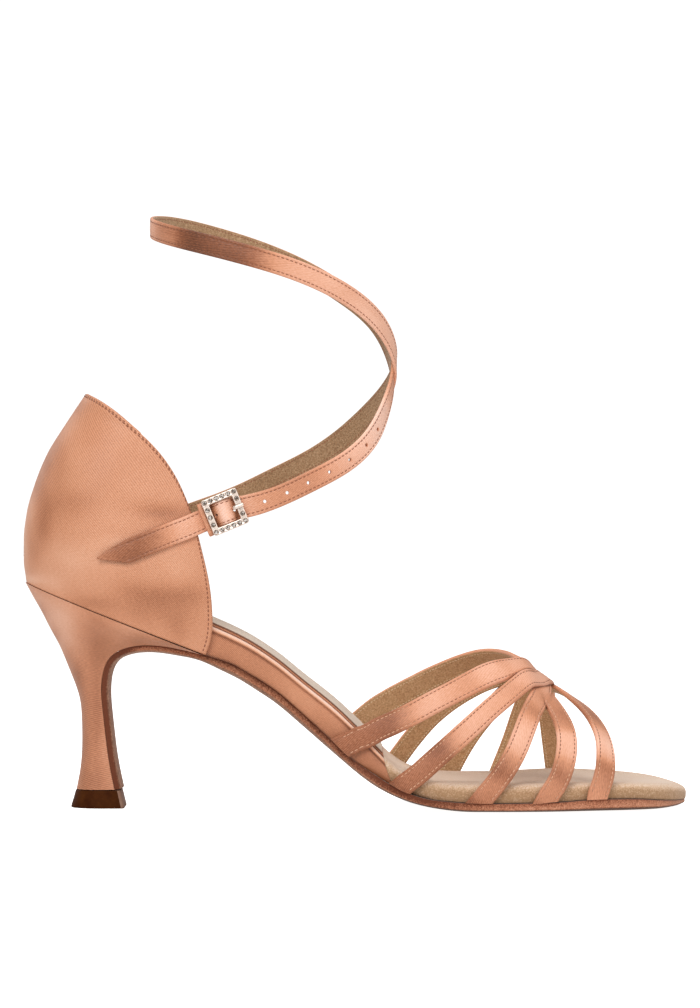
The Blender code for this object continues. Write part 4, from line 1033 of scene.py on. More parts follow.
# Painted shade and painted highlights on the counter's satin, as soft spots: place, width, height and amount of
# tone.
COUNTER_TONES = table("x z wide high amount", [
    (-17.6, 95.0, 3.2, 8.0, -0.42), (-20.0, 110.5, 2.6, 5.5, -0.34), (-17.0, 117.0, 2.4, 5.0, -0.36),
    (-16.2, 104.0, 3.0, 6.0, -0.16), (-22.6, 101.0, 1.8, 4.5, 0.28), (-20.5, 86.0, 2.6, 4.5, -0.26),
    (0.5, 70.0, 9.0, 2.2, -0.26), (13.0, 73.8, 10.0, 3.0, -0.16), (28.5, 62.0, 3.5, 6.0, -0.25),
    (7.8, 90.4, 5.5, 2.0, 0.30), (-14.0, 123.5, 2.4, 4.0, -0.22),
    (-25.0, 91.0, 1.5, 15.0, 0.6), (-2.0, 85.0, 16.0, 6.0, 0.35), (23.0, 100.0, 9.0, 2.6, -0.55),
    (14.0, 103.5, 8.0, 3.0, -0.05), (27.0, 72.3, 12.0, 4.0, -0.48), (16.0, 67.0, 18.0, 5.0, -0.32),
    (30.0, 81.5, 7.0, 4.0, 0.20), (-15.0, 76.5, 7.0, 3.5, 0.30), (-5.0, 103.5, 9.0, 5.0, -0.32),
    (30.0, 88.0, 7.0, 4.0, 0.20), (2.0, 122.0, 7.0, 12.0, -0.20),
    (0.0, 106.0, 10.0, 8.0, 0.10), (-12.0, 118.0, 3.5, 10.0, -0.20), (-7.0, 137.0, 3.0, 4.0, -0.35),
    (-22.0, 77.6, 4.0, 1.5, 0.50),
])


def counter_half(x, z):
    """Half-width at a point of the side view: a quarter circle round the back, then drawn in at the waist."""
    height = z - seat_z(x)
    out = smooth(CUP["height"], CUP["out"], height)
    back = smooth(COUNTER_BACK["z"], COUNTER_BACK["x"], z)
    length = SEAT_ROUND - 9.0 * np.clip(height / 66, 0, 1)
    distance = np.clip(x - back, 0, None)
    past = np.clip((distance - length) / 25, 0, 1.2)
    waist = 1 - 0.075 * past ** 2 * (1 - np.clip(height / 40, 0, 1))
    return (SEAT_HALF + out) * rounded_back(distance, length) * waist


def counter_sheet(s, v):
    """The side view as a Coons patch: edge blends along s and v, less the corners' own blend."""
    edge = {}
    for name, line, share in (("back", COUNTER_BACK, v), ("front", COUNTER_FRONT, v), ("top", COUNTER_TOP, s)):
        points = np.stack([line["x"], line["z"]], -1)
        reach = lengths(points)
        edge[name] = spline(reach, points, share * reach[-1])
    start, end = edge["back"][0], edge["front"][0]
    edge["bottom"] = start + (end - start) * s[:, None]
    s, v = s[:, None, None], v[None, :, None]
    across = (1 - s) * edge["back"][None] + s * edge["front"][None]
    up = (1 - v) * edge["bottom"][:, None] + v * edge["top"][:, None]
    corners = (1 - s) * ((1 - v) * edge["back"][0] + v * edge["back"][-1])
    corners = corners + s * ((1 - v) * edge["front"][0] + v * edge["front"][-1])
    view = across + up - corners
    x, z = view[..., 0], view[..., 1]
    near = np.stack([x, -counter_half(x, z), z], -1)
    x = x - INNER_SETBACK * s[..., 0] ** SETBACK_CURVE
    far = np.stack([x, counter_half(x, z), z], -1)
    return np.concatenate([near[::-1], far[1:]])


edge_steps = np.array([2.4, 1.9, 1.5, 1.15, 0.85, 0.6, 0.38, 0.2, 0.07, 0.0])
ROW_LENGTH, COLUMN_LENGTH, LAST_PLAIN_ROW = 70, 60, 0.952
s_rows = np.r_[np.linspace(0, 1, 84) ** 2 * LAST_PLAIN_ROW, 1 - edge_steps / ROW_LENGTH]
v_rows = np.r_[edge_steps[::-1] / COLUMN_LENGTH, np.linspace(0.05, 0.95, 64), 1 - edge_steps / COLUMN_LENGTH]
sheet = counter_sheet(s_rows, v_rows)
print("counter sheet:", sheet.shape)


# %% Give the counter its wall, seams and lining
def edge_distance(points):
    """Distance of each grid point from the bottom and top of its column and from its row's two ends."""
    step_c = np.linalg.norm(np.diff(points, axis=1), axis=2)
    up = np.concatenate([np.zeros((len(points), 1)), step_c.cumsum(1)], 1)
    step_r = np.linalg.norm(np.diff(points, axis=0), axis=2)
    along_row = np.concatenate([np.zeros((1, points.shape[1])), step_r.cumsum(0)], 0)
    ends = np.minimum(along_row, along_row[-1:] - along_row)
    return up, up[:, -1:] - up, ends, along_row


def sheet_normals(points, inside):
    """Cross product of the two grid directions, turned away from a point inside."""
    normal = unit(np.cross(np.gradient(points, axis=0), np.gradient(points, axis=1)))
    return normal * np.sign((normal * (points - inside)).sum(-1, keepdims=True))


def groove(distance, at, depth, wide):
    """A soft channel: minus depth times exp(-((distance - at) / wide) squared)."""
    return -depth * np.exp(-((distance - at) / wide) ** 2)


TOP_SEAM, FRONT_SEAM = 1.3, 1.6
HEEL_CUP_MIDDLE = np.array([12.0, 0.0, 95.0])
from_low, from_top, from_front, round_row = edge_distance(sheet)
normals = sheet_normals(sheet, HEEL_CUP_MIDDLE)
relief = groove(from_top, TOP_SEAM, 0.14, 0.28) + groove(from_front, FRONT_SEAM, 0.18, 0.32)
relief = relief + 0.10 * np.exp(-((from_low - 1.0) / 0.8) ** 2)
outer_x, outer_z = sheet[..., 0], sheet[..., 2]
hand_lines = table("x z wide high amount", [
    (20.0, 101.0, 11.0, 2.6, -0.45), (6.0, 92.0, 14.0, 5.0, 0.18), (26.0, 75.0, 12.0, 4.0, -0.30),
    (28.0, 66.0, 12.0, 4.0, 0.15), (-14.0, 104.0, 5.0, 15.0, -0.20),
])
relief = relief + patches(hand_lines, outer_x, outer_z) * ease(from_front, 0, 5) * ease(from_top, 0, 5)
nearest = np.minimum(np.minimum(from_top, from_front), from_low * 12)
half_wall = COUNTER_WALL / 2
swell = half_wall * np.sqrt(1 - (1 - np.clip(nearest / half_wall, 0, 1)) ** 2)
middle = sheet - normals * half_wall
outer_face = middle + normals * (swell + relief * np.clip(nearest / half_wall, 0, 1))[..., None]
inner_face = middle - normals * swell[..., None]


LINING_START = 0.6


def shell(name, outer, inner, materials, uv, tone, from_edge):
    """One closed wall: the outer sheet, and the inner one turned over and joined to it at the edges.

    from_edge is each point's distance from the edge. The satin turns in for a little before the lining.
    """
    rows, columns = outer.shape[:2]
    quads, r, c = grid_quads(rows, columns, False, False)
    faces = np.r_[quads, quads[:, ::-1] + rows * columns]
    mesh = bpy.data.meshes.new(name)
    points = np.r_[outer.reshape(-1, 3), inner.reshape(-1, 3)]
    mesh.from_pydata((points * MM).tolist(), [], faces.tolist())
    corner = np.stack([uv[r, c], uv[r, c + 1], uv[r + 1, c + 1], uv[r + 1, c]], 1)
    give_cloth(mesh, np.r_[corner, corner[:, ::-1]].reshape(-1, 2))
    give_tone(mesh, np.r_[tone.ravel(), 0 * tone.ravel()])
    for material in materials:
        mesh.materials.append(material)
    index = np.r_[np.zeros(len(r)), (from_edge[r, c] > LINING_START) * 1].astype(np.int32)
    mesh.polygons.foreach_set("material_index", index)
    return finish_piece(name, mesh, 60)


counter_uv = np.stack([round_row - round_row[-1:] / 2, from_low], -1)
# The painted light and shade are weaker on the inner side, down to 0.4 of their strength.
calm = 1 - 0.6 * ease(sheet[..., 1], -8, 8)
# A thin line of painted shade along the bottom edge, in the joint where the counter meets the heel.
seat_joint_shade = 0.55 * np.exp(-((from_low - 0.1) / 0.3) ** 2)
counter_tone = patches(COUNTER_TONES, outer_x, outer_z) * calm - seat_joint_shade
heel_counter = shell("heel_counter", outer_face, inner_face, [counter_satin, lining_suede], counter_uv,
                     counter_tone, nearest)
wear(heel_counter, "satin", "heel_counter")


# %% Sew the counter
def evenly(points, normal, pitch):
    """Places at an even pitch along a line of points, with the way ahead and outwards at each."""
    reach = lengths(points)
    where = np.arange(pitch / 2, reach[-1], pitch)
    at = lambda values: np.stack([np.interp(where, reach, values[:, k]) for k in range(3)], -1)
    return at(points), at(np.gradient(points, axis=0)), at(normal)


def counter_row(edge, distance, lift, inner=False):
    """A line inside the counter's top or front edge, on its outer or inner face."""
    face = inner_face if inner else outer_face
    out = -normals if inner else normals
    if edge == "top":
        column = np.array([np.interp(-distance, -row, np.arange(len(row))) for row in from_top])
        pick = np.floor(column).astype(int)
        rows = np.arange(len(face))
        share = (column - pick)[:, None]
        line = face[rows, pick] * (1 - share) + face[rows, pick + 1] * share
        out = out[rows, pick]
    else:
        close_rows, any_column = 8 + len(edge_steps), 5
        near = int(np.abs(from_front[:close_rows, any_column] - distance).argmin())
        near = near if edge == "outer" else len(face) - 1 - near
        line, out = face[near], out[near]
    return line + out * lift, out


THREAD_LIFT = 0.03
# The last number of each row is the tone of its thread: how much darker it is painted, as the shade of the
# stitch's dimple.
for name, edge, distance, pitch, size, radius, tone in (
    ("top_a", "top", 0.75, 1.7, 0.8, 0.16, 0.15), ("top_b", "top", TOP_SEAM, 1.7, 0.95, 0.27, 0.5),
    ("outer", "outer", FRONT_SEAM, 1.5, 0.95, 0.23, 0.75),
    ("inner", "inner", FRONT_SEAM, 1.5, 0.95, 0.23, 0.75),
):
    line, out = counter_row(edge, distance, THREAD_LIFT)
    row = sew(f"counter_stitch_{name}", *evenly(line, out, pitch), satin_thread, size, radius, tone)
    wear(row, "satin")
    line, out = counter_row(edge, max(distance, 0.8), THREAD_LIFT, True)
    row = sew(f"counter_lining_stitch_{name}", *evenly(line, out, 1.2), cream_thread, 0.7, 0.17)
    wear(row, "satin")

# %% [markdown]
# ## Straps
#
# A shoe strap is a strip of satin folded over a core, with lining behind and a row of stitches along each
# edge. Its section is a flat band with a slight crown, two stitch channels and round folded edges. The
# section is carried along the strap's middle line, and outward says which way the satin looks.
# %% Define a strap
STITCH_INSET, STITCH_SINK, LINING_SINK = 1.1, 0.14, 0.10


def strap_section(thick):
    """One half of the section, from the middle of the satin face round the edge to the lining's middle.

    Each point has a share of the half-width, an inset from the edge, and a height over the middle line.
    """
    edge_high, edge_reach = thick / 2 - 0.10, 0.5
    share = np.array([0.0, 0.3, 0.6, 0.85])
    inset = np.array([1.75, 1.5, 1.3, 1.1, 0.9, 0.72, 0.55])
    turn = np.radians([90, 68, 46, 24, 0, -24, -46, -68, -90])
    face_high = thick / 2 - 0.04 * share ** 2
    seam_high = thick / 2 - 0.06 + groove(inset, STITCH_INSET, 0.18, 0.24) + 0.03 * (inset < 0.8)
    back_inset = np.array([0.62, 0.75, 1.0, 1.25, 1.6])
    channel = -groove(back_inset, STITCH_INSET, 0.06, 0.25)
    back_high = -(thick / 2 - LINING_SINK) - 0.05 * (back_inset > 0.7) + channel
    rows = [
        (share, share * 2.0, face_high),
        (np.ones(len(inset)), inset, seam_high),
        (np.ones(len(turn)), edge_reach * (1 - np.cos(turn)), edge_high * np.sin(turn)),
        (np.ones(len(back_inset)), back_inset, back_high),
        (share[:0:-1], share[:0:-1] * 2.0, np.full(3, back_high[-1])),
    ]
    return np.concatenate([np.stack(part, -1) for part in rows])


LINING_COLUMN = 17


def full_section(thick):
    """Both halves: share, inset and height for each column of the ring, and where the lining is."""
    half = strap_section(thick)
    middle_back = np.array([[0.0, 0.0, half[-1, 2]]])
    other = half[:0:-1] * [-1, -1, 1]
    ring = np.r_[half, middle_back, other]
    first, last = LINING_COLUMN, len(ring) - LINING_COLUMN
    return ring, lambda r, c: ((c >= first) & (c < last)) * 1


def band_lines(centre, outward):
    """A strap's middle line with the directions ahead, across and outwards at each of its points."""
    ahead = unit(np.gradient(centre, axis=0))
    outward = unit(outward - ahead * (outward * ahead).sum(1)[:, None])
    return {"reach": lengths(centre), "centre": centre, "ahead": ahead, "outward": outward,
            "across": np.cross(ahead, outward)}


def on_band(band, s, across, out):
    """Point at s along the strap: middle line plus across times one direction plus out times the other."""
    at = lambda name: np.stack([np.interp(s, band["reach"], band[name][:, k]) for k in range(3)], -1)
    across, out = np.asarray(across)[..., None], np.asarray(out)[..., None]
    return at("centre") + at("across") * across + at("outward") * out


def strap_uv(s, across, high):
    """Cloth places of a strap: distance along it by distance round its section."""
    around = np.r_[0, (np.abs(np.diff(across)) + np.abs(np.diff(high))).cumsum()]
    around = np.r_[around, around[-1] + 0.5]
    return np.stack([np.c_[s, s[:, :1]], np.broadcast_to(around, (len(s), len(around)))], -1)


def sew_strap(name, band, start, end, half_width, thick, tone_at, back_thread, back_tone=0.0):
    """Stitch rows along both edges, dashes on the satin and smaller dots on the lining."""
    for side in (-1, 1):
        for face, size, step, radius in ((1, 0.95, 1.55, 0.14), (-1, 0.7, 1.15, 0.2)):
            s = np.arange(start + step / 2, end, step)
            half = np.interp(s, band["reach"], half_width)
            high = face * (thick / 2 - STITCH_SINK)
            across = side * (half - STITCH_INSET)
            places = on_band(band, s, across, high)
            ahead = on_band(band, s + 0.3, across, high) - places
            out = face * (on_band(band, s, 0 * s, 0 * s + 1) - on_band(band, s, 0 * s, 0 * s))
            side_name = "outer" if side > 0 else "inner"
            face_name, colour = ("satin", satin_thread) if face > 0 else ("lining", back_thread)
            tone = tone_at(s) if face > 0 else back_tone
            row = sew(f"{name}_{side_name}_{face_name}_stitch", places, ahead, out, colour, size, radius, tone)
            wear(row, "satin")


def tone_along(stations, s):
    """Tone at each distance along a strap, from stations of distance and tone."""
    at, tone = np.array(stations, float).T
    return smooth(at, tone, s)


section_try, _ = full_section(1.8)
print("strap section:", len(section_try), "columns")

# %% [markdown]
# ## The toe straps
#
# Five straps run from the joint of insole and outsole on one side, over the toes, to the other side, and
# cross in a knot off the middle. They lie on the foot's form, which is an arch from edge to edge at every
# x. A strap's table gives where it crosses the form at each turn from the ridge, and in the knot each one
# lies a little higher or lower, so that one passes over the next. Its shape is the width and the roll
# towards the outer and the inner side, and how much wider it is where it first crosses. Its layers are how
# far it lies off the form outside and inside the knot.
# %% Shape the form and the straps on it
RIDGE = table("x z y", [
    (80.0, 64.0, 8.0), (100.0, 61.5, 8.0), (120.0, 58.0, 8.0), (130.0, 56.0, 7.5), (140.0, 52.0, 7.0),
    (145.0, 49.6, 6.5), (150.0, 44.1, 6.0), (160.0, 37.5, 5.0), (170.0, 30.6, 4.0), (176.0, 24.0, 4.0),
])
EDGE_UNDER_TOP, STRAP_THICK, STRAP_CLEAR = 3.0, 1.7, 0.5
KNOT_X, KNOT_REACH, KNOT_TURN = 149.5, 13.0, 40.0
BULGE_TURN, BULGE_REACH, SMOOTHED = -32.0, 14.0, 25
FORM_INSIDE = np.array([120.0, 5.0, 10.0])
STRAPS = table("turn rear_outer second_outer middle rear_inner second_inner", [
    (-106.0, 77.0, 94.4, 116.5, 141.5, 165.0), (-90.0, 88.5, 104.5, 130.9, 152.0, 168.2),
    (-75.0, 96.4, 116.5, 139.5, 156.5, 170.3), (-60.0, 108.8, 128.9, 144.0, 157.9, 171.0),
    (-45.0, 124.8, 138.5, 147.3, 156.8, 170.8), (-30.0, 137.0, 145.4, 149.8, 152.6, 169.2),
    (-15.0, 145.4, 149.8, 150.8, 147.6, 165.8), (0.0, 149.2, 151.8, 150.4, 143.4, 160.0),
    (15.0, 150.2, 152.8, 148.8, 138.8, 152.8), (30.0, 149.2, 153.4, 146.0, 129.8, 144.2),
    (45.0, 147.4, 154.4, 141.2, 116.2, 132.6), (60.0, 145.0, 155.6, 134.2, 102.3, 118.5),
    (75.0, 141.8, 156.8, 126.0, 93.4, 107.9), (90.0, 137.2, 157.8, 119.2, 87.4, 100.7),
    (106.0, 132.0, 158.4, 112.5, 81.4, 94.3),
])
STRAP_SHAPE = {
    "rear_outer": (8.0, 14.0, 7.2, 0.0, 1.4),
    "second_outer": (7.4, 0.0, 7.0, 0.0, 0.0),
    "middle": (7.2, 0.0, 7.2, 0.0, 0.0),
    "rear_inner": (7.2, 0.0, 8.8, 0.0, 0.0),
    "second_inner": (7.2, 0.0, 7.2, 0.0, 0.0),
}
STRAP_LAYERS = {
    "rear_outer": (0.05, 0.45),
    "second_outer": (0.1, 1.15),
    "middle": (-0.05, -0.3),
    "rear_inner": (0.0, -0.6),
    "second_inner": (-0.1, 0.2),
}


def foot_point(x, turn, out=0.0):
    """Point of the foot's form: the sine of the turn goes out from ridge to edge, the cosine goes up."""
    x, turn = np.broadcast_arrays(np.asarray(x, float), np.asarray(turn, float))
    side = np.where(turn < 0, -1.0, 1.0)
    clear = STRAP_CLEAR + 0.9
    edge = np.where(side < 0, -bed_half(x, -1) - clear, bed_half(x, 1) + clear)
    base = side_view(TOP, x) - EDGE_UNDER_TOP
    angle = np.radians(np.clip(np.abs(turn), 0, 90))
    ridge_y, ridge_z = (smooth(RIDGE["x"], RIDGE[name], x) for name in "yz")
    y = ridge_y + (edge - ridge_y) * np.sin(angle) + side * out * np.sin(angle)
    z = base + (ridge_z - base) * np.cos(angle) + out * np.cos(angle)
    z = z - np.clip(np.abs(turn) - 90, 0, None)
    return np.stack([x, y, z], -1)


def toe_band(name):
    """A toe strap's middle line, the way its satin looks, and its half-width along it."""
    turn = np.linspace(STRAPS["turn"][0], STRAPS["turn"][-1], 900)
    x = spline(STRAPS["turn"], STRAPS[name], turn)[:, 0]
    away, inside = STRAP_LAYERS[name]
    near_knot = np.exp(-((x - KNOT_X) / KNOT_REACH) ** 2 - (turn / KNOT_TURN) ** 2)
    lift = away + (inside - away) * near_knot
    centre = foot_point(x, turn, lift)
    along_x = foot_point(x + 0.5, turn, lift) - foot_point(x - 0.5, turn, lift)
    along_turn = foot_point(x, turn + 0.5, lift) - foot_point(x, turn - 0.5, lift)
    outward = np.cross(along_x, along_turn)
    outward *= np.sign((outward * (centre - FORM_INSIDE)).sum(1))[:, None]
    outward = unit(outward)
    outer_width, outer_roll, inner_width, inner_roll, bulge = STRAP_SHAPE[name]
    share = np.clip((np.abs(turn) - 10) / 30, 0, 1)
    knot_width = (outer_width + inner_width) / 2
    width = knot_width + (np.where(turn < 0, outer_width, inner_width) - knot_width) * share
    width = width + bulge * np.exp(-((turn - BULGE_TURN) / BULGE_REACH) ** 2)
    roll = np.radians(np.where(turn < 0, outer_roll, inner_roll) * share)[:, None]
    level = np.stack([0 * turn, np.sign(turn), 0 * turn], -1)
    outward = outward * np.cos(roll) + level * np.sin(roll)
    even = np.ones(SMOOTHED) / SMOOTHED
    padded = np.pad(outward, ((SMOOTHED // 2, SMOOTHED // 2), (0, 0)), "edge")
    outward = np.stack([np.convolve(padded[:, k], even, "valid") for k in range(3)], -1)
    return band_lines(centre, outward), width / 2


# %% [markdown]
# The satin's painted highlights and painted shade lie across each strap, so a short table of distance and
# tone gives them. Where one strap's edge lies on the next there is a thin line of shade. Lamps this soft
# don't draw it, so it is painted into the tone too, and the straps get rows close enough to hold it.
# %% Shade the toe straps
# Painted highlights and painted shade along each toe strap, as distance and tone.
TOE_TONES = {
    "rear_outer": [(2, -1.1), (7, -0.7), (13, -0.65), (24, -0.82), (30, -0.38), (36, 0.15), (41, 0.3),
                   (49, 0.1), (55, -0.05), (62, 0.3), (66, 0.3), (71, 0.1), (76, 0.25), (86, 0.0)],
    "second_outer": [(8, -1.0), (14, -0.6), (20, -0.6), (29, -0.78), (34, -0.2), (38, 0.15), (45, 0.3),
                     (55, 0.12), (62, -0.05), (70, 0.25), (80, 0.35), (92, 0.1)],
    "middle": [(16, -0.9), (20, -0.45), (25, -0.36), (30, -0.71), (35, -0.31), (40, 0.36), (45, 0.49),
               (50, 0.22), (55, -0.35), (60, 0.02), (66, -0.1), (72, 0.1), (90, 0.0)],
    "rear_inner": [(14, -0.6), (17, -0.3), (21, -0.25), (26, -0.58), (30, -0.24), (35, 0.4), (40, 0.5),
                   (45, -0.17), (50, -0.42), (56, -0.25), (63, -0.1), (90, 0.0)],
    "second_inner": [(10, -0.6), (14, -0.1), (20, -0.32), (25, -0.52), (30, 0.31), (35, 0.7), (40, 0.43),
                     (45, -0.17), (51, -0.58), (57, -0.5), (64, -0.3), (80, 0.0)],
}
CONTACT_TONE, CONTACT_REACH = 1.3, 0.75
toe_bands = {name: toe_band(name) for name in STRAP_SHAPE}


def contact_tone(points, name):
    """Painted shade where another strap's edge lies close: minus exp(-(distance over reach) squared).

    The square of a distance is the sum of both points' own squares less twice their product.
    """
    flat = points.reshape(-1, 3)
    nearest = np.full(len(flat), np.inf)
    for other, (band, half) in toe_bands.items():
        if other != name:
            s = np.linspace(0, band["reach"][-1], 400)
            wide = np.interp(s, band["reach"], half)
            edges = np.concatenate([on_band(band, s, side * wide, 0 * s) for side in (-1, 1)])
            squared = (flat ** 2).sum(1)[:, None] + (edges ** 2).sum(1) - 2 * flat @ edges.T
            nearest = np.minimum(nearest, squared.min(1))
    return -CONTACT_TONE * np.exp(-nearest / CONTACT_REACH ** 2).reshape(points.shape[:2])


print("toe straps in mm:", {name: round(band["reach"][-1]) for name, (band, _) in toe_bands.items()})


# %% [markdown]
# A toe strap has no end of its own to see: the joint of insole and outsole cuts it off. Each column of its
# section is followed along the strap to the point where it meets that joint, and the rows are spread
# between those two ends.
# %% Cut the toe straps to the joint and sew them
def trimmed_ends(band, across, high, level):
    """For each column, how far along the strap it meets the level line at either end."""
    s = band["reach"][::3]
    grid_s, grid_a = np.meshgrid(s, across, indexing="ij")
    points = on_band(band, grid_s, grid_a, np.broadcast_to(high, grid_s.shape))
    above = points[..., 2] - level(points[..., 0])
    column = np.arange(above.shape[1])

    def crossing(low, high):
        """Where the line between two samples of each column meets the level."""
        share = above[low, column] / (above[low, column] - above[high, column])
        return s[low] + (s[high] - s[low]) * np.clip(share, 0, 1)

    first = np.maximum((above > 0).argmax(0), 1)
    last = np.minimum(len(s) - 1 - (above > 0)[::-1].argmax(0), len(s) - 2)
    return crossing(first - 1, first), crossing(last + 1, last)


TOE_STRAP_ROWS, JOINT_CLEAR, SEWN_SHORT = 380, 0.05, 0.8


def make_toe_strap(name):
    """The strap's section carried between the ends that its columns reach at the joint."""
    band, half = toe_bands[name]
    section, pick = full_section(STRAP_THICK)
    share, inset, high = section.T
    start, end = trimmed_ends(band, share * half.mean() - inset, high, lambda x: joint_z(x) + JOINT_CLEAR)
    s = start + (end - start) * np.linspace(0, 1, TOE_STRAP_ROWS)[:, None]
    across = share * np.interp(s, band["reach"], half) - inset
    points = on_band(band, s, across, high + 0 * across)
    tone_at = lambda where: tone_along(TOE_TONES[name], where)
    strap = surface(f"strap_{name}", points, [peach_satin, lining_suede], uv=strap_uv(s, across.mean(0), high),
                    tone=tone_at(s) + contact_tone(points, name), pick=pick, sharp=60)
    sew_strap(f"strap_{name}", band, start.max() + SEWN_SHORT, end.min() - SEWN_SHORT, half, STRAP_THICK,
              tone_at, cream_thread)
    return strap


for name in STRAP_SHAPE:
    strap = make_toe_strap(name)
    wear(strap, "satin", *(["vamp_straps"] if name == "rear_outer" else []))

# %% [markdown]
# ## The buckle's own directions
#
# The buckle sits tilted on the outer side of the ankle. Its parts are laid out in its own directions, along
# the strap, across it and outwards, and one function turns them into places on the shoe.
# %% Set the buckle's place
BUCKLE = np.array([44.0, -27.7, 100.4])
BUCKLE_RISE = math.radians(22.4)
FRAME_HALF, FRAME_BAR, FRAME_THICK, FRAME_OUT = 6.3, 2.2, 1.8, 1.15
buckle_ahead = np.array([math.cos(BUCKLE_RISE), 0.0, math.sin(BUCKLE_RISE)])
buckle_across = np.array([-math.sin(BUCKLE_RISE), 0.0, math.cos(BUCKLE_RISE)])
buckle_out = np.array([0.0, -1.0, 0.0])


def at_buckle(points):
    """Places on the shoe from (ahead, across, outward) distances at the buckle's middle."""
    points = np.asarray(points, float)
    turned = points[..., :1] * buckle_ahead + points[..., 1:2] * buckle_across + points[..., 2:3] * buckle_out
    return BUCKLE + turned


print("buckle middle:", BUCKLE)

# %% [markdown]
# ## The ankle strap
#
# One long strap starts inside the counter's inner edge, crosses in front of the ankle, goes once round it
# and comes back through the buckle to a pointed tail. A table gives its stations and the way its satin
# faces at each, so that it turns over in a smooth twist, and one smooth curve joins them.
# %% Lay the ankle strap's line
ANKLE_WIDTH, ANKLE_THICK, WINDOW_LIFT = 7.0, 1.3, 1.45
ANKLE = table("x y z facing", [
    (24.0, 23.2, 97.2, 92.0), (32.0, 22.4, 100.3, 97.0), (40.0, 25.0, 103.2, 98.0),
    (48.0, 27.4, 106.5, 88.0), (60.0, 28.0, 112.3, 84.0), (72.0, 25.9, 118.2, 74.0),
    (84.0, 20.6, 126.1, 58.0), (92.5, 14.2, 134.3, 42.0), (98.6, 6.6, 142.6, 22.0),
    (100.9, 0.0, 150.0, 0.0), (99.5, -6.4, 157.2, -20.0), (94.0, -14.6, 165.6, -40.0),
    (84.0, -22.6, 173.3, -58.0), (70.0, -27.6, 180.0, -76.0), (54.0, -28.6, 185.2, -92.0),
    (38.0, -25.0, 189.6, -112.0), (25.0, -15.6, 193.4, -138.0), (18.2, 0.0, 197.0, -180.0),
    (24.6, 15.6, 198.2, -222.0), (38.0, 25.2, 195.7, -250.0), (54.0, 28.6, 190.8, -268.0),
    (70.0, 27.2, 183.8, -284.0), (84.0, 21.6, 175.0, -302.0), (94.3, 13.0, 165.2, -322.0),
    (98.8, 5.6, 155.4, -342.0), (99.9, -1.0, 145.6, -364.0), (97.4, -7.6, 135.0, -384.0),
    (92.8, -14.6, 125.4, -404.0), (84.4, -21.4, 117.2, -422.0), (72.2, -26.0, 110.4, -438.0),
    (61.2, -28.1, 105.3, -448.0),
])
TAIL = table("back drop out", [
    (13.0, 0.0, 0.25), (20.0, -0.1, 0.65), (28.0, -0.15, 1.2), (36.0, -0.2, 1.6), (46.2, -0.2, 1.65),
])
TAIL_POINT, TAIL_LOW_SLOPE, TAIL_HIGH_SLOPE = 1.87, 1.8, 5.8


def ankle_line(samples):
    """The strap's stations: round the ankle, in a low wave through the buckle, and the tail."""
    loop = np.stack([ANKLE["x"], ANKLE["y"], ANKLE["z"]], -1)
    turned = np.radians(ANKLE["facing"])
    facing = np.stack([np.cos(turned), np.sin(turned), 0 * turned], -1)
    top = WINDOW_LIFT
    half_wave = [(8.5, 0, 0), (6.3, 0, -0.05), (4.3, 0, 0), (2.6, 0, 0.65), (1.0, 0, top - 0.1), (0, 0, top)]
    wave = np.r_[half_wave, np.array(half_wave[-2::-1]) * [-1, 1, 1]]
    drop_at, drop = np.array([-8.5, -2.6, 2.0, 4.3, 8.5]), np.array([0.1, 0.05, -0.15, -0.5, -1.2])
    wave[:, 1] = smooth(drop_at, drop, wave[:, 0])
    tail = np.stack([-TAIL["back"], -TAIL["drop"], TAIL["out"]], -1)
    local = at_buckle(np.r_[wave, tail])
    points = np.r_[loop, local]
    facing = np.r_[facing, np.tile(buckle_out, (len(local), 1))]
    reach = lengths(points)
    where = np.linspace(0, reach[-1], samples)
    return band_lines(spline(reach, points, where), spline(reach, facing, where))


ankle_band = ankle_line(2600)
ankle_end = ankle_band["reach"][-1]
print("ankle strap length:", round(ankle_end), "mm")


# %% Make the ankle strap
def tail_cut(across):
    """How much of the end is cut off at each place across: none at the point, more towards both edges."""
    above = across - TAIL_POINT
    return np.where(above > 0, TAIL_HIGH_SLOPE * above, -TAIL_LOW_SLOPE * above)


def ankle_half(s):
    """Half-width along the strap: a little wider where it first crosses, and from the buckle to the tail."""
    in_window = np.exp(-((s - ankle_end + TAIL["back"][-1]) / 4.5) ** 4)
    crossing = np.exp(-((s - 74) / 20) ** 2)
    return ANKLE_WIDTH / 2 + 0.3 * ease(s, ankle_end - 68, ankle_end - 54) + 0.45 * in_window + 0.6 * crossing


# Painted highlights and painted shade along the ankle strap, as distance and tone, with painted shade and a
# highlight in the buckle's window.
ANKLE_TONES = [
    (96, 0.0), (108, 0.3), (114, 0.6), (130, 0.58), (137, 0.45), (143, 0.3), (151, 0.42), (158, 0.35),
    (168, 0.03), (173, -0.35), (177, -0.7), (182, -0.92), (192, -1.0), (199, -1.13), (204, -0.88),
    (208, -0.42), (216, -0.24), (222, 0.12), (232, 0.1), (350, -0.1), (358, 0.0), (364, 0.4), (370, 0.9),
    (378, 0.95), (390, 0.65), (396, 0.4), (403, 0.05), (412, -0.2), (420, -0.16), (428, 0.1), (433, 0.3),
    (435.5, 0.1), (436.8, -0.8), (438.5, 0.5), (441, 1.0), (442.8, 0.2), (444.5, -1.0), (446, -0.6),
    (448, -0.3), (452, 0.18), (456, 0.27), (460, 0.02), (464, -0.32), (468, -0.59), (473, -0.8),
    (478, -0.75), (484, -0.45),
]
ANKLE_ROWS, ANKLE_END_ROUND = 620, 0.6
TAIL_STEPS = np.array([1.0, 0.75, 0.5, 0.3, 0.15, 0.05, 0.0])


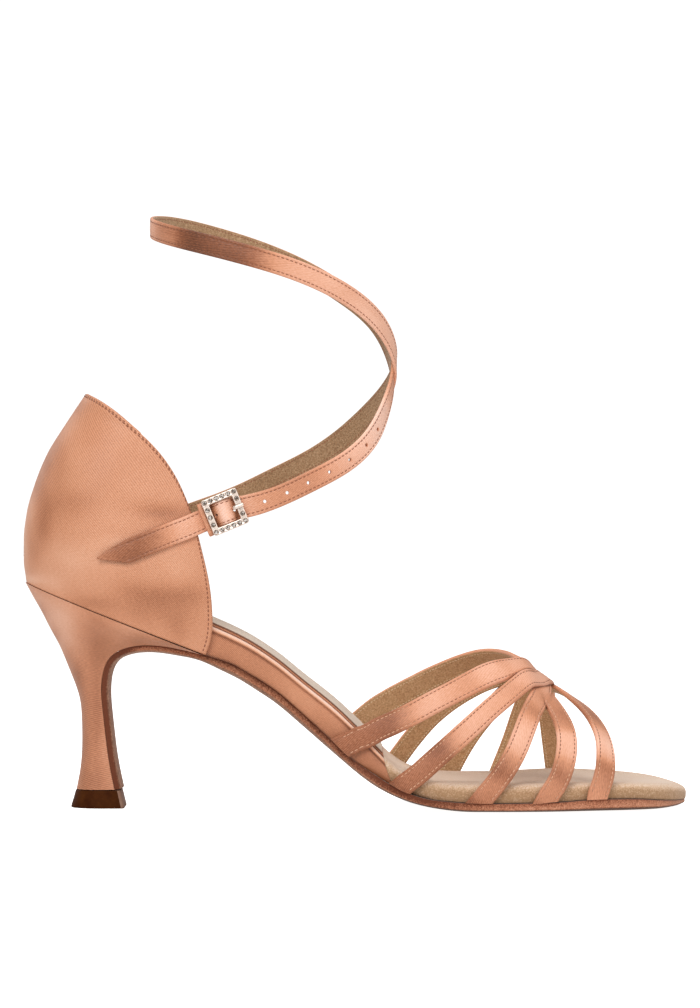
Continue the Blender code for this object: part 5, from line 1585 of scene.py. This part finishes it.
def make_ankle_strap():
    """The strap's section carried along its line, cut slanting at the tail, its two ends rounded shut."""
    section, pick = full_section(ANKLE_THICK)
    share, inset, high = section.T
    t = np.r_[np.linspace(0, 1, ANKLE_ROWS) * (1 - 1.2 / ankle_end), 1 - TAIL_STEPS / ankle_end]
    plain = t[:, None] * ankle_end
    across = share * ankle_half(plain) - inset
    s = plain - tail_cut(across) * ease(plain, ankle_end - 34, ankle_end)
    end_gap = np.clip(ankle_end - plain, 0, ANKLE_END_ROUND) / ANKLE_END_ROUND
    thin = np.sqrt(1 - (1 - end_gap) ** 2)
    points = on_band(ankle_band, s, across, high * thin)
    return surface("ankle_strap", points, [peach_satin, ankle_lining], uv=strap_uv(s, across[0], high),
                   tone=tone_along(ANKLE_TONES, s), pick=pick, sharp=60)


ankle_strap = make_ankle_strap()

# %% [markdown]
# The strap has round punched holes for the prong, one behind the buckle and seven in front of it. A hole
# could be painted dark, but light shows through a real one. So small round pins are subtracted from the
# strap with a Boolean, at the places on the strap nearest to where the camera sees each hole.
# %% Punch the holes
HOLE_RADIUS, PRONG_HOLE_RADIUS, PIN_SIDES = 0.56, 0.85, 20
HOLES_SEEN = [(40.3, 99.5), (56.7, 103.8), (64.3, 106.8), (71.3, 110.3), (78.6, 113.7), (85.2, 118.0),
              (91.2, 122.7), (95.7, 127.7)]


def seen_from_front(points):
    """Places in the plane y = 0: the offset from the eye, times the eye's distance over the point's."""
    eye_x, eye_y, eye_z = (v / MM for v in EYE)
    away = eye_y / (eye_y - points[..., 1])
    return np.stack([eye_x + (points[..., 0] - eye_x) * away, eye_z + (points[..., 2] - eye_z) * away], -1)


def hole_places():
    """Distances along the strap of the holes: the nearest point of its last turn to each seen place."""
    late = ankle_band["reach"] > ankle_end - 150
    seen = seen_from_front(ankle_band["centre"][late])
    far = np.linalg.norm(seen[:, None] - np.array(HOLES_SEEN)[None], axis=2)
    return ankle_band["reach"][late][far.argmin(0)]


def pins(name, places, radius, reach):
    """Round pins through the strap, one at each place, all in one mesh."""
    turn = np.linspace(0, 2 * math.pi, PIN_SIDES, endpoint=False)
    ring = np.stack([radius * np.cos(turn), radius * np.sin(turn)], -1)
    s = places[:, None, None] + ring[None, None, :, 0]
    across = np.broadcast_to(ring[None, None, :, 1], (len(places), 2, PIN_SIDES))
    out = np.broadcast_to(np.array([-reach, reach])[None, :, None], across.shape)
    points = on_band(ankle_band, np.broadcast_to(s, across.shape), across, out)
    quads, _, _ = grid_quads(2, PIN_SIDES, False, True)
    shift = np.arange(len(places))[:, None] * 2 * PIN_SIDES
    end = np.arange(PIN_SIDES)[None] + shift
    faces = (quads[None] + shift[..., None]).reshape(-1, 4).tolist() + end.tolist() + (end + PIN_SIDES).tolist()
    mesh = bpy.data.meshes.new(name)
    mesh.from_pydata((points.reshape(-1, 3) * MM).tolist(), [], faces)
    mesh.materials.append(lining_suede)
    return finish_piece(name, mesh)


def subtract(piece, cutter):
    """The piece without the cutter's volume. The result is kept and the cutter is removed."""
    modifier = piece.modifiers.new("cut", "BOOLEAN")
    modifier.operation, modifier.solver, modifier.object = "DIFFERENCE", "EXACT", cutter
    bpy.context.view_layer.update()
    made = bpy.data.meshes.new_from_object(piece.evaluated_get(bpy.context.evaluated_depsgraph_get()))
    piece.modifiers.clear()
    piece.data = made
    bpy.data.objects.remove(cutter, do_unlink=True)


holes = hole_places()
subtract(ankle_strap, pins("pins", holes, HOLE_RADIUS, 2.0))
prong_gap = np.linalg.norm(ankle_band["centre"] - at_buckle([3.15, 0.0, 0.45]), axis=1)
prong_hole = ankle_band["reach"][prong_gap.argmin()]
subtract(ankle_strap, pins("prong_pin", np.array([prong_hole]), PRONG_HOLE_RADIUS, 1.6))
wear(ankle_strap, "satin", "ankle_strap")
# The ankle strap's thread is painted dark all along, on satin and lining alike, as the shade of the stitches'
# dimples.
dark_all_along = lambda where: 0 * where + 0.5
sew_strap("ankle_strap", ankle_band, 1.0, ankle_end - 12.0, ankle_half(ankle_band["reach"]), ANKLE_THICK,
          dark_all_along, satin_thread, 0.5)
print("holes along the strap:", holes.round(1))

# %% [markdown]
# ## The buckle tab and the keeper
#
# The buckle hangs on a short satin tab that comes out of the counter's front edge, goes round the centre
# bar and back under itself. Beside the frame a narrow satin loop, the keeper, holds the strap down.
# %% Make the tab
TAB_THICK, TAB_WIDTH, TAB_ROUND, BAR_OUT, BAR_RADIUS = 0.95, 6.2, 0.4, -1.2, 0.5
TAB_ACROSS = np.array([0.0, 1.0, 0.0])


def tab_line():
    """The tab's middle line: out from the counter, then once round the centre bar."""
    hidden = [(-18.0, 2.6, -5.05), (-14.0, 1.2, -5.3), (-11.4, 0.4, -4.95)]
    out = [(-8.5, 0.0, -3.1), (-6.2, 0.0, -2.45), (-3.2, 0.0, -2.42)]
    turn = np.radians([-90, -45, 0, 45, 90, 130])
    reach = BAR_RADIUS + GAP + TAB_THICK / 2
    eye = np.stack([reach * np.cos(turn), 0 * turn, BAR_OUT + reach * np.sin(turn)], -1)
    return through(np.r_[hidden, out, eye], 90)


def tab_points():
    """A flat section with rounded edges, and its face always a quarter turn from the way ahead."""
    line = tab_line()
    ahead = unit(np.gradient(line, axis=0))
    outward = unit(np.cross(ahead, TAB_ACROSS))
    turn = np.radians(np.linspace(-90, 90, 9))
    edge = TAB_WIDTH / 2 - TAB_ROUND + TAB_ROUND * np.cos(turn)
    across = np.r_[edge, -edge]
    high = np.r_[np.sin(turn), -np.sin(turn)] * TAB_THICK / 2
    flat = line[:, None] + TAB_ACROSS * across[None, :, None] + outward[:, None] * high[None, :, None]
    return at_buckle(flat)


tab_grid = tab_points()
tab_tone = np.full(tab_grid.shape[:2], -0.3)
buckle_tab = surface("buckle_tab", tab_grid, [peach_satin], uv=ring_uv(tab_grid), tone=tab_tone)
slot_cut = [[(-2.4, -0.9, z), (2.6, -0.9, z), (2.6, 0.9, z), (-2.4, 0.9, z)] for z in (-4.5, 1.5)]
subtract(buckle_tab, surface("slot", at_buckle(slot_cut), []))
wear(buckle_tab, "satin", "buckle_tab")


# %% Make the keeper
KEEPER_AHEAD, KEEPER_LOW, KEEPER_CORNER, KEEPER_HALF, KEEPER_WALL_HALF = -7.2, -5.15, 0.9, 0.75, 0.42


def keeper_points():
    """A flat loop round strap and tab: a rounded rectangle, thick outwards and narrow along the strap.

    Its band's section is a rounded box: a power under one of the cosine and of the sine of the turn.
    """
    wide, low, high, corner = FRAME_HALF - 0.9, KEEPER_LOW, ANKLE_THICK / 2 + 0.7, KEEPER_CORNER
    turn = np.radians(np.linspace(0, 90, 8))
    arc = np.stack([np.cos(turn), np.sin(turn)], -1)
    sides = []
    for across, out, spin in ((1, 1, 0), (-1, 1, 1), (-1, -1, 2), (1, -1, 3)):
        middle = np.array([across * (wide - corner), high - corner if out > 0 else low + corner])
        quarter = spin * math.pi / 2
        rotate = np.array([[math.cos(quarter), math.sin(quarter)], [-math.sin(quarter), math.cos(quarter)]])
        sides.append(np.c_[middle + corner * arc @ rotate, arc @ rotate])
    loop = np.concatenate(sides)
    around = np.radians(np.linspace(0, 360, 20, endpoint=False))
    along = np.sign(np.cos(around)) * np.abs(np.cos(around)) ** 0.6 * KEEPER_HALF
    wall = np.sign(np.sin(around)) * np.abs(np.sin(around)) ** 0.7 * KEEPER_WALL_HALF
    cross = loop[:, None, :2] + loop[:, None, 2:] * wall[None, :, None]
    return at_buckle(np.concatenate([KEEPER_AHEAD + along[None, :, None] + 0 * cross[..., :1], cross], -1))


keeper_grid = keeper_points()
keeper_uv = ring_uv(np.concatenate([keeper_grid, keeper_grid[:1]], 0))
strap_keeper = surface("strap_keeper", keeper_grid, [peach_satin], wrap=(True, True), caps=False, uv=keeper_uv,
                       tone=np.full(keeper_grid.shape[:2], 0.0))
wear(strap_keeper, "satin", "strap_keeper")

# %% [markdown]
# ## The buckle
#
# The frame is cast metal with a plated face and a row of small stones. Its section is swept round a square
# with tight round corners. The centre bar and its two lugs sit behind the frame, and a bent wire prong is
# hooked round the bar.
# %% Make the frame
CORNER_STEPS = 7


def square_ring(reach, corner):
    """Points round a square of this half-size whose corners are quarter circles."""
    turn = np.radians(np.linspace(0, 90, CORNER_STEPS))
    spin = np.repeat(np.arange(4) * math.pi / 2, CORNER_STEPS)
    angle = np.tile(turn, 4) + spin
    middle = np.stack([np.cos(spin + math.pi / 4), np.sin(spin + math.pi / 4)], -1) * math.sqrt(2)
    reach, corner = reach[..., None, None], corner[..., None, None]
    return middle * (reach - corner) + corner * np.stack([np.cos(angle), np.sin(angle)], -1)


def frame_points():
    """A section with bevelled edges, swept round the square from its outer edge to its inner one."""
    low, inner = FRAME_OUT, FRAME_HALF - FRAME_BAR
    reach = FRAME_HALF - np.array([0.0, 0.0, 0.0, 0.06, 0.18, 0.35, 0.42, 1.8,
                                   1.88, 2.05, 2.15, 2.2, 2.2, 2.1, 1.1, 0.15])
    out = low + np.array([0.15, 0.8, 1.45, 1.65, 1.76, 1.8, 1.74, 1.74,
                          1.8, 1.76, 1.65, 1.5, 0.15, 0.0, 0.0, 0.0])
    corner = np.where(reach > inner + 0.5, 0.9, 0.45)
    ring = square_ring(reach, corner)
    flat = np.concatenate([ring, np.broadcast_to(out[:, None, None], (*ring.shape[:2], 1))], -1)
    return at_buckle(flat.transpose(1, 0, 2))


WIRE_SIDES = 14


def tube(line, radius, side):
    """A round wire along a line, closed to a rounded nose at each end."""
    ahead = unit(np.gradient(line, axis=0))
    up = unit(np.cross(ahead, side))
    across = np.cross(up, ahead)
    reach = lengths(line)
    gap = np.minimum(reach, reach[-1] - reach)
    blunt = np.max(radius)
    thick = radius * np.sqrt(1 - (1 - np.clip(gap / blunt, 0, 1)) ** 2)
    turn = np.radians(np.linspace(0, 360, WIRE_SIDES, endpoint=False))
    circle = across[:, None] * np.cos(turn)[None, :, None] * 1.15 + up[:, None] * np.sin(turn)[None, :, None]
    return line[:, None] + circle * thick[:, None, None]


def merge(name, pieces):
    """Several made pieces as one mesh object, each keeping its own closed skin."""
    work = bmesh.new()
    for piece in pieces:
        work.from_mesh(piece.data)
    mesh = bpy.data.meshes.new(name)
    work.to_mesh(mesh)
    work.free()
    for material in pieces[0].data.materials:
        mesh.materials.append(material)
    for piece in pieces:
        bpy.data.objects.remove(piece, do_unlink=True)
    return finish_piece(name, mesh, 40)


# The frame's outer and inner side walls take the dark metal: painted shade on the sides that turn away from the
# light.
walls = lambda r, c: ((c < 2) | (c >= 10) & (c < 13)) * 1
frame_ring = surface("ring", frame_points(), [rose_metal, dark_metal_and_shade], wrap=(True, True), caps=False,
                     pick=walls)
ends = np.r_[0.0, 0.05, 0.15, 0.3, 0.5, np.linspace(0.8, 10.0, 12), 10.3, 10.5, 10.65, 10.75, 10.8]
bar_line = np.stack([0 * ends, ends - ends[-1] / 2, 0 * ends + BAR_OUT], -1)
bar = surface("bar", at_buckle(tube(bar_line, BAR_RADIUS, np.array([1.0, 0.0, 0.0]))), [rose_metal])
LUG_ACROSS = 5.2
lugs = []
for end in (-1, 1):
    levels = np.array([BAR_OUT - 0.6, BAR_OUT - 0.45, 1.4, 1.5])
    grow = np.array([0.62, 0.8, 0.8, 0.8])
    corners = np.array([(-1, -1), (1, -1), (1, 1), (-1, 1)]) * 1.0
    box = [[(a * g, end * LUG_ACROSS + b * g * 0.62, level) for a, b in corners]
           for g, level in zip(grow, levels)]
    lugs.append(surface(f"lug_{end + 1}", at_buckle(box), [rose_metal]))
buckle_frame = merge("buckle_frame", [frame_ring, bar, *lugs])
wear(buckle_frame, "buckle_metal", "buckle_frame")


# %% Make the prong
PRONG_ROWS, PRONG_RADIUS = 150, 0.42


def prong_line():
    """Hooked round the bar, under the strap, up through its hole and over the front bar."""
    hook = BAR_RADIUS + GAP + 0.4
    turn = np.radians([270, 225, 180, 135, 90])
    around = np.stack([hook * np.cos(turn), BAR_OUT + hook * np.sin(turn)], -1)
    over = FRAME_OUT + FRAME_THICK + 0.7
    rise = [(1.2, -0.45), (2.2, -0.75), (2.95, -0.35), (3.15, 0.5), (3.2, 1.5), (3.3, 2.5)]
    nose = [(3.55, over - 0.3), (4.6, over), (5.8, over), (6.8, over - 0.1)]
    path = np.r_[around, rise, nose]
    return through(np.stack([path[:, 0], 0 * path[:, 0], path[:, 1]], -1), PRONG_ROWS)


prong_radius = PRONG_RADIUS + 0.22 * ease(np.linspace(0, 1, PRONG_ROWS), 0.62, 0.80)
prong_grid = at_buckle(tube(prong_line(), prong_radius, np.array([0.0, 1.0, 0.0])))
# The prong's back half, and one edge of its front, take the dark metal: painted shade.
under = lambda r, c: ((c < 1) | (c >= 6)) * 1
buckle_prong = surface("buckle_prong", prong_grid, [rose_metal, dark_metal_and_shade], pick=under)
wear(buckle_prong, "buckle_metal", "buckle_prong")

# %% [markdown]
# ## The stones
#
# The stones are foil-backed glass, cut with flat facets, each in a small metal collar. The foil sends
# nearly all light back, so a bright metallic shader with hardly any roughness is closer to them than clear
# glass, and the flat facets give each one its dark and light sides.
# %% Set the stones
def foil_glass(name):
    """Smoky foil-backed glass: its shade changes a little from stone to stone."""
    material, tree, shader = new_material(name)
    shade = noise(tree, object_place(tree), 1500.0, 1.0)
    colour = colour_ramp(tree, shade, [(0.42, (0.16, 0.115, 0.085)), (0.58, (0.95, 0.88, 0.82))])
    set_inputs(shader, Base_Color=colour, Metallic=0.35, Roughness=0.10, Coat_Weight=1.0, Coat_Roughness=0.03)
    return material


STONE_REACH, STONE_SINK, STONES_ALONG = 5.25, 0.06, 6
steps = np.linspace(-STONE_REACH, STONE_REACH, STONES_ALONG)
stone_places = np.r_[
    np.c_[steps, 0 * steps + STONE_REACH], np.c_[steps, 0 * steps - STONE_REACH],
    [(-STONE_REACH, y) for y in (-2.6, 0.0, 2.6)], [(STONE_REACH, y) for y in (-2.7, 2.7)],
]


def repeat_rings(name, profile, places, sides, twist, material, sharp):
    """A small turned shape at each place: profile gives radius and height, and the ends close to points."""
    turn = np.radians(np.arange(sides) * 360 / sides)
    radius, high = np.array(profile, float).T
    angle = turn[None, :] + np.arange(len(radius))[:, None] * twist
    ring = np.stack([radius[:, None] * np.cos(angle), radius[:, None] * np.sin(angle),
                     np.broadcast_to(high[:, None], angle.shape)], -1)
    middles = np.c_[places, np.full(len(places), FRAME_OUT + FRAME_THICK - STONE_SINK)]
    points = at_buckle(middles[:, None, None] + ring[None])
    quads, _, _ = grid_quads(len(radius), sides, False, True)
    shift = np.arange(len(places))[:, None, None] * ring[..., 0].size
    faces = (quads[None] + shift).reshape(-1, 4).tolist()
    mesh = bpy.data.meshes.new(name)
    mesh.from_pydata((points.reshape(-1, 3) * MM).tolist(), [], faces)
    mesh.materials.append(material)
    return finish_piece(name, mesh, sharp)


stone_profile = [(0.0, -0.1), (0.70, 0.0), (0.66, 0.10), (0.38, 0.32), (0.0, 0.32)]
stones = repeat_rings("buckle_stones", stone_profile, stone_places, 8, math.radians(22.5),
                      foil_glass("foil glass"), 5)
wear(stones, "buckle_metal")
collar_profile = [(0.0, -0.15), (0.84, -0.15), (0.83, 0.08), (0.78, 0.14), (0.70, 0.10), (0.67, -0.02),
                  (0.0, -0.02)]
collars = repeat_rings("buckle_collars", collar_profile, stone_places, 14, 0.0, dark_metal_and_shade, 30)
wear(collars, "buckle_metal")
print("stones:", len(stone_places))
